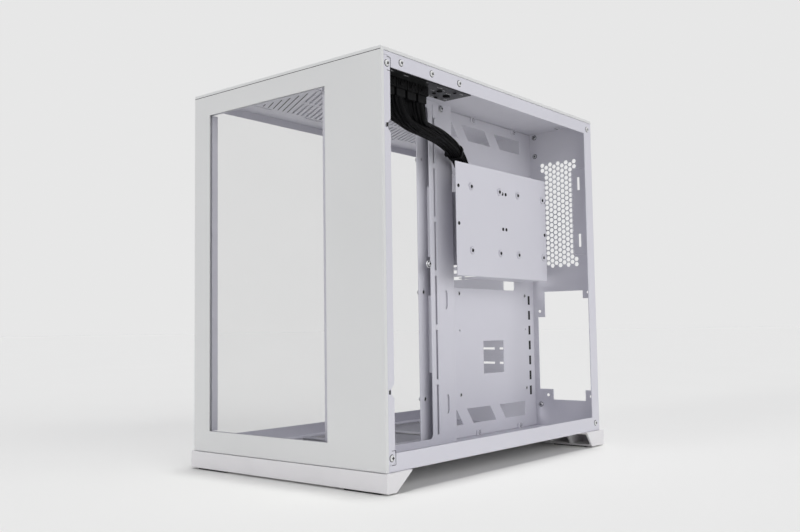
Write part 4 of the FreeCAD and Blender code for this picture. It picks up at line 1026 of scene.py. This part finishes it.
class CASE_OT_seat_rubber(bpy.types.Operator):
    """Seat rubber grommets in the drive holes, which also darken them as their shade would, and near-black
    painted shade in the tie slots of the tray
    """

    bl_idname = "dual_case.seat_rubber"
    bl_label = "Seat rubber"

    # A grommet's section: share of its radius and height
    grommet = ((0.88, -0.0014), (0.94, -0.0002), (1.0, 0.0), (1.0, 0.0004), (0.8, 0.0006))
    grommet_sides = 20
    # Radius of the grommets and how far they stand off the plate
    in_rings = (0.0019, 0.0014)
    in_disk_holes = (0.0021, 0.0)
    # Tie slots in millimetres, with corners and bevel of the near-black painted shade block in each
    slot_back = 422.0
    slot_ups = [69.5 + 20.4 * k for k in range(7)]
    slot_rubber = ((-1.4, -2.3, -6.0), (0.3, 2.3, 6.0), 0.2)

    def execute(self, context):
        # The black grommets are real fittings and also stand in for the shade in the holes
        bm = bmesh.new()
        for holes, (radius, lift) in ((RING_HOLES, self.in_rings), (DISK_HOLES, self.in_disk_holes)):
            section = [(out * radius, height + lift) for out, height in self.grommet]
            for back, up in holes:
                add_turned(bm, on_face(PLATE_FACE, back, up), RIGHTWARD, section, self.grommet_sides)
        make_piece("drive_hole_grommets", bm, ["pad_rubber"])
        bm = bmesh.new()
        # Painted shade: near-black blocks in the tie slots, where only shade would show
        for up in self.slot_ups:
            add_block(bm, on_face(TRAY_FACE, self.slot_back, up), *self.slot_rubber)
        make_piece("tie_slot_rubber", bm, ["pad_rubber"])
        return {"FINISHED"}


class CASE_OT_back_slots(bpy.types.Operator):
    """Close the fan bracket's slots and oblong holes from behind"""

    bl_idname = "dual_case.back_slots"
    bl_label = "Back slots"

    # Places in millimetres, with corners and bevel from the back of the bracket
    oblong_back = 212.2
    oblong_ups = (66.2, 189.0)
    oblong_plate = ((-2.0, -4.5, -12.5), (-0.8, 4.5, 12.5), 0.3)
    fan_slots_back = 193.1
    fan_slots_plate = ((-3.2, -5.0, 30.0), (-2.0, 5.0, 410.0), 0.4)

    def execute(self, context):
        behind = BRACKET_FACE - SHEET
        bm = bmesh.new()
        for up in self.oblong_ups:
            add_block(bm, on_face(behind, self.oblong_back, up), *self.oblong_plate)
        add_block(bm, on_face(behind, self.fan_slots_back, 0), *self.fan_slots_plate)
        make_piece("slot_backs", bm, ["inner_white"])
        return {"FINISHED"}


class CASE_OT_bend_tray_tabs(bpy.types.Operator):
    """Bend the tray's tabs at the ceiling and the floor and drive their screws"""

    bl_idname = "dual_case.bend_tray_tabs"
    bl_label = "Bend tray tabs"

    # In millimetres: places, thickness, half the width, height, and the screw's distance from the bend
    tab_backs = (294.0, 392.0)
    tab_thick = 1.6
    tab_half = 6.0
    tab_tall = 7.0
    tab_bevel = 0.5
    screw_up = 3.6
    screw_size = (0.0023, 0.001, 0.001)
    screw_turn = 0.5

    def execute(self, context):
        bm = bmesh.new()
        for back in self.tab_backs:
            for bend, side in ((CEILING - SHEET, -1), (FLOOR + SHEET, 1)):
                place = on_face(TRAY_FACE, back, bend / MM)
                low, high = sorted((0.0, side * self.tab_tall))
                ends = ((0.0, -self.tab_half, low), (self.tab_thick, self.tab_half, high))
                add_block(bm, place, *ends, self.tab_bevel)
                seat = (TRAY_FACE + self.tab_thick * MM, place.y, bend + side * self.screw_up * MM)
                add_screw(bm, seat, RIGHTWARD, self.screw_size, self.screw_turn)
        make_piece("tray_tabs", bm, ["inner_white", "drive_recess"])
        return {"FINISHED"}


class CASE_OT_mark_seams(bpy.types.Operator):
    """Lay painted shade along the corner tabs' edges, in the latch windows, in the lid's seam and in the
    ceiling vent's corner
    """

    bl_idname = "dual_case.mark_seams"
    bl_label = "Mark seams"

    # Corners in millimetres from a front corner screw, for the painted shade lines along a corner tab's
    # edges, and from the middle of a latch window, for the painted shade block in it
    tab_edges = (
        ((-0.3, 5.5, -6.5), (0.1, 6.0, 6.5)),
        ((-0.3, 0.0, 6.5), (0.1, 5.5, 7.0)),
        ((-0.3, 0.0, -7.0), (0.1, 5.5, -6.5)),
    )
    latch_places = ((8.7, 352.5), (7.0, 95.2))
    latch_window = ((-0.2, -1.2, -2.0), (0.1, 1.2, 2.0))
    # The painted shade line in the seam under the lid, in millimetres: inset from both sides, depth, and
    # half its height
    seam_inset = 0.4
    seam_depth = (-0.1, 0.3)
    seam_half = 0.3
    # The ceiling vent in millimetres, inward from the right side and back from the front face
    vent_inward = (246.5, 151.5)
    vent_front = 66.0
    vent_pitch = 8.0
    vent_line = 1.3
    vent_slope = 0.56
    vent_gap = 0.1
    line_thick = 0.0002

    def execute(self, context):
        bm = bmesh.new()
        # Painted shade: near-black lines along a corner tab's edges, where its gap would be dark
        for back, up in FRONT_CORNERS:
            for edge in self.tab_edges:
                add_block(bm, on_face(RIGHT, back, up), *edge)
        make_piece("corner_tab_edges", bm, ["drive_recess"])
        bm = bmesh.new()
        # Painted shade: near-black blocks in the latch windows, where only shade would show
        for back, up in self.latch_places:
            add_block(bm, on_face(RIGHT, back, up), *self.latch_window)
        make_piece("latch_windows", bm, ["pad_rubber"])
        low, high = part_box("front_panel")
        far_side = (high.x - low.x) / MM - self.seam_inset
        out, deep = self.seam_depth
        ends = ((self.seam_inset, out, -self.seam_half), (far_side, deep, self.seam_half))
        # Painted shade: a near-black line in the seam under the lid
        bm = bmesh.new()
        add_block(bm, Vector((low.x, low.y, high.z)), *ends)
        make_piece("lid_seam", bm, ["drive_recess"])
        self.shade_vent_corner()
        return {"FINISHED"}

    def shade_vent_corner(self):
        """Short near-black lines, painted shade, that carry the look of the ceiling's slanted slots into the
        front corner of its vent.
        """
        left, right = self.vent_inward
        under = (CEILING - SHEET) / MM - self.vent_gap
        start = self.vent_front + self.vent_slope * (left - right) - self.vent_pitch
        bm = bmesh.new()
        while start > self.vent_front + self.vent_line:
            end = left - (start - self.vent_front) / self.vent_slope
            near = ((left, start), (end, self.vent_front))
            far = [(inward, back + self.vent_line) for inward, back in near[::-1]]
            bm.faces.new([bm.verts.new(spot(inward, back, under)) for inward, back in (*near, *far)])
            start -= self.vent_pitch
        bm.normal_update()
        bmesh.ops.solidify(bm, geom=list(bm.faces), thickness=self.line_thick)
        make_piece("vent_corner_lines", bm, ["drive_recess"])


# Boards and ports


class CASE_OT_fit_standoffs(bpy.types.Operator):
    """Finish the board posts and show their ends on the tray"""

    bl_idname = "dual_case.fit_standoffs"
    bl_label = "Fit standoffs"

    post_backs = (411.6, 256.7, 184.3)
    post_ups = (197.8, 73.3)
    collar = ((0.0027, 0.0), (0.0027, 0.0003), (0.0024, 0.0005), (0.0019, 0.0005), (0.0018, 0.0001))
    collar_sides = 20

    def execute(self, context):
        coat("board_standoffs", "plated_steel")
        coat("io_spacers", "turned_brass")
        bm = bmesh.new()
        for back in self.post_backs:
            for up in self.post_ups:
                place = on_face(TRAY_FACE, back, up)
                foot, mouth = add_rings(bm, place, RIGHTWARD, self.collar, self.collar_sides)
                bm.faces.new(foot[::-1])
                # Each collar's mouth takes the second finish, painted shade for the dark of the post's hole
                bm.faces.new(mouth).material_index = 1
        make_piece("standoff_collars", bm, ["plated_steel", "drive_recess"])
        return {"FINISHED"}


class CASE_OT_fit_control_board(bpy.types.Operator):
    """Finish the control board and solder its small parts"""

    bl_idname = "dual_case.fit_control_board"
    bl_label = "Fit control board"

    black = ("lead_sockets", "button_switches", "audio_jack")
    plated = ("usb_port_1", "usb_port_2", "usb_c_port")
    joint = ((0.0005, 0.0), (0.0004, 0.0003), (0.0002, 0.0006))
    joint_sides = 10
    joint_pitch = 2.0
    # Rows of solder joints in millimetres: inward, back, and how many
    joint_rows = (
        (8.0, 24.0, 3), (37.0, 26.0, 2), (9.0, 47.0, 4), (38.0, 64.0, 3), (8.5, 84.0, 2),
        (11.0, 106.0, 5), (22.0, 109.0, 4), (33.0, 107.0, 3), (14.5, 121.0, 2), (38.0, 127.0, 4),
        (19.0, 133.0, 5), (9.5, 146.0, 3), (28.0, 146.5, 2), (35.0, 151.0, 3),
    )
    # Chips in millimetres: inward, back, width, length and height
    chips = (
        (17.0, 118.0, 4.0, 5.0, 1.2), (27.0, 122.0, 3.0, 3.0, 1.0), (10.0, 138.0, 3.2, 1.6, 0.9),
        (35.0, 118.0, 3.2, 1.6, 0.9), (23.0, 140.0, 6.0, 6.0, 1.4), (36.0, 136.0, 2.0, 4.0, 1.0),
    )
    chip_bevel = 0.2

    def execute(self, context):
        coat("io_board", "board_lacquer")
        for node in self.black:
            coat(node, "matte_black")
        for node in self.plated:
            coat(node, "plated_steel")
        under = BOARD_UNDER / MM
        bm = bmesh.new()
        for inward, back, count in self.joint_rows:
            for k in range(count):
                place = spot(inward, back + self.joint_pitch * k, under)
                add_turned(bm, place, DOWNWARD, self.joint, self.joint_sides)
        make_piece("solder_joints", bm, ["solder_tin"])
        bm = bmesh.new()
        for inward, back, wide, long, tall in self.chips:
            corner = spot(inward + wide, back, under)
            add_block(bm, corner, (0.0, 0.0, -tall), (wide, long, 0.0), self.chip_bevel)
        make_piece("board_chips", bm, ["matte_black"])
        return {"FINISHED"}


class CASE_OT_fit_ports(bpy.types.Operator):
    """Fit the tongues of the ports and the ring of the headset jack"""

    bl_idname = "dual_case.fit_ports"
    bl_label = "Fit ports"

    # Shares of a port's width and length that its tongue takes, and its ends under the port's rim
    tongue_wides = {"usb_port_1": 0.3, "usb_port_2": 0.3, "usb_c_port": 0.34}
    tongue_long = 0.72
    tongue_ends = (-0.0088, -0.0012)
    tongue_bevel = 0.0003
    jack_rim = ((0.0032, -0.0001), (0.0032, 0.00012), (0.0024, 0.00012), (0.0019, -0.0001))
    jack_sides = 32

    def execute(self, context):
        foot, tip = self.tongue_ends
        bm = bmesh.new()
        for node, share in self.tongue_wides.items():
            low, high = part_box(node)
            rim = Vector(((low.x + high.x) / 2, (low.y + high.y) / 2, high.z))
            half_wide = (high.x - low.x) * share / 2
            half_long = (high.y - low.y) * self.tongue_long / 2
            start = rim + Vector((-half_wide, -half_long, foot))
            end = rim + Vector((half_wide, half_long, tip))
            add_box(bm, start, end, self.tongue_bevel)
        make_piece("port_tongues", bm, ["matte_black"])
        low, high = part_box("audio_jack")
        mouth = ((low.x + high.x) / 2, (low.y + high.y) / 2, high.z)
        bm = bmesh.new()
        add_rings(bm, mouth, UPWARD, self.jack_rim, self.jack_sides)
        make_piece("jack_ring", bm, ["plated_steel"])
        return {"FINISHED"}


# Stage


class CASE_OT_set_stage(bpy.types.Operator):
    """Lay the pale floor, light the studio and place the camera"""

    bl_idname = "dual_case.set_stage"
    bl_label = "Set stage"

    floor_reach = 60.0
    floor_squares = 8
    camera_place = (0.6819, -0.8619, 0.1547)
    # Yaw, pitch and roll in degrees
    camera_turn = (39.923, 4.181, -0.760)
    camera_shift = (0.0187, -0.0017)
    lights_from = {
        "right_light": Vector((0.95, -0.14, 0.17)).normalized(),
        "front_light": Vector((-0.15, -0.93, 0.14)).normalized(),
        "top_light": Vector((0.0, 0.05, 1.0)).normalized(),
    }

    def execute(self, context):
        scene = context.scene
        scene.view_settings.view_transform = "Standard"
        self.lay_floor(scene)
        self.light_dome(scene)
        self.hang_lamps(scene)
        self.place_camera(scene)
        return {"FINISHED"}

    def level(self, scene):
        """Light on the open floor in each channel, where 1 shows a colour as it is written."""
        light = scene.case_light
        direct = sum(getattr(light, name) * way.z for name, way in self.lights_from.items())
        steady = direct / math.pi + light.bounce
        return [light.dome * tint + steady for tint in scene.case_colours.dome_tint]

    def lay_floor(self, scene):
        """A wide sheet of matte paper that shows the backdrop's colour under this light."""
        bm = bmesh.new()
        squares = self.floor_squares
        bmesh.ops.create_grid(bm, x_segments=squares, y_segments=squares, size=self.floor_reach)
        mesh = bpy.data.meshes.new("studio_floor")
        bm.to_mesh(mesh)
        bm.free()
        floor = bpy.data.objects.new("studio_floor", mesh)
        scene.collection.objects.link(floor)
        material, tree, shader = new_material("studio_paper")
        colour = [c / lit for c, lit in zip(scene.case_colours.backdrop, self.level(scene))]
        drift(tree, shader, noise(tree, scale=3.0), colour, share=0.004)
        polish(tree, shader, noise(tree, scale=200.0), low=0.9, high=1.0)
        shader.inputs["Specular IOR Level"].default_value = 0.0
        mesh.materials.append(material)

    def light_dome(self, scene):
        """Even light from all round, behind which the eye, gloss and glass see the backdrop's colour."""
        world = bpy.data.worlds.new("studio_dome")
        world.use_nodes = True
        scene.world = world
        tree = world.node_tree
        dome = tree.nodes["Background"]
        dome.inputs["Color"].default_value = (*scene.case_colours.dome_tint, 1.0)
        dome.inputs["Strength"].default_value = scene.case_light.dome
        seen = tree.nodes.new("ShaderNodeBackground")
        seen.inputs["Color"].default_value = (*scene.case_colours.backdrop, 1.0)
        rays = tree.nodes.new("ShaderNodeLightPath")
        sights = [rays.outputs[f"Is {kind} Ray"] for kind in ("Camera", "Glossy", "Transmission")]
        total = sights[0]
        for sight in sights[1:]:
            either = tree.nodes.new("ShaderNodeMath")
            either.operation = "MAXIMUM"
            tree.links.new(total, either.inputs[0])
            tree.links.new(sight, either.inputs[1])
            total = either.outputs["Value"]
        mix = tree.nodes.new("ShaderNodeMixShader")
        tree.links.new(total, mix.inputs["Fac"])
        tree.links.new(dome.outputs["Background"], mix.inputs[1])
        tree.links.new(seen.outputs["Background"], mix.inputs[2])
        tree.links.new(mix.outputs["Shader"], tree.nodes["World Output"].inputs["Surface"])

    def hang_lamps(self, scene):
        """The three lamps, each shining from its own side."""
        light = scene.case_light
        for name, way in self.lights_from.items():
            lamp = bpy.data.lights.new(name, "SUN")
            lamp.energy = getattr(light, name)
            lamp.angle = getattr(light, f"{name}_spread")
            source = bpy.data.objects.new(name, lamp)
            source.rotation_mode = "QUATERNION"
            source.rotation_quaternion = way.to_track_quat("Z", "Y")
            scene.collection.objects.link(source)

    def place_camera(self, scene):
        """The camera, low before the corner between the front and the open side."""
        yaw, pitch, roll = [math.radians(a) for a in self.camera_turn]
        ahead = Vector((-math.sin(yaw) * math.cos(pitch), math.cos(yaw) * math.cos(pitch), math.sin(pitch)))
        level_right = Vector((math.cos(yaw), math.sin(yaw), 0))
        level_up = level_right.cross(ahead)
        right = level_right * math.cos(roll) + level_up * math.sin(roll)
        up = level_up * math.cos(roll) - level_right * math.sin(roll)
        turn = Matrix((right, up, -ahead)).transposed().to_4x4()
        lens = bpy.data.cameras.new("studio_camera")
        lens.sensor_width = 36.0
        lens.lens = scene.case_light.lens
        lens.shift_x, lens.shift_y = self.camera_shift
        lens.clip_start, lens.clip_end = 0.01, 200.0
        camera = bpy.data.objects.new("studio_camera", lens)
        camera.matrix_world = Matrix.Translation(self.camera_place) @ turn
        scene.collection.objects.link(camera)
        scene.camera = camera


class CASE_PT_dressing(bpy.types.Panel):
    """Lists the steps that dress the case, with their settings"""

    bl_idname = "CASE_PT_dressing"
    bl_label = "Case dressing"
    bl_space_type = "VIEW_3D"
    bl_region_type = "UI"
    bl_category = "Case"

    def draw(self, context):
        for name, group in SETTINGS.items():
            column = self.layout.column()
            for setting in group.__annotations__:
                column.prop(getattr(context.scene, name), setting)
        for step in STEPS:
            self.layout.operator(step.bl_idname)


STEPS = (
    CASE_OT_lay_leads,
    CASE_OT_tie_leads,
    CASE_OT_detail_connectors,
    CASE_OT_paint_sheets,
    CASE_OT_glaze_windows,
    CASE_OT_mould_plastics,
    CASE_OT_weave_filters,
    CASE_OT_drive_case_screws,
    CASE_OT_drive_inner_screws,
    CASE_OT_press_sheets,
    CASE_OT_seat_rubber,
    CASE_OT_back_slots,
    CASE_OT_bend_tray_tabs,
    CASE_OT_mark_seams,
    CASE_OT_fit_standoffs,
    CASE_OT_fit_control_board,
    CASE_OT_fit_ports,
    CASE_OT_set_stage,
)
SETTINGS = {"case_colours": CaseColours, "case_sizes": CaseSizes, "case_light": CaseLight}


def register():
    """Adds the classes and the scene's settings."""
    for each in (*SETTINGS.values(), *STEPS, CASE_PT_dressing):
        bpy.utils.register_class(each)
    for name, group in SETTINGS.items():
        setattr(bpy.types.Scene, name, PointerProperty(type=group))


def unregister():
    """Takes the settings and the classes away again."""
    for name in SETTINGS:
        delattr(bpy.types.Scene, name)
    for each in (CASE_PT_dressing, *STEPS[::-1], *SETTINGS.values()):
        bpy.utils.unregister_class(each)


def main():
    """Runs every step in order."""
    register()
    for step in STEPS:
        group, name = step.bl_idname.split(".")
        getattr(getattr(bpy.ops, group), name)()


if __name__ == "__main__":
    main()
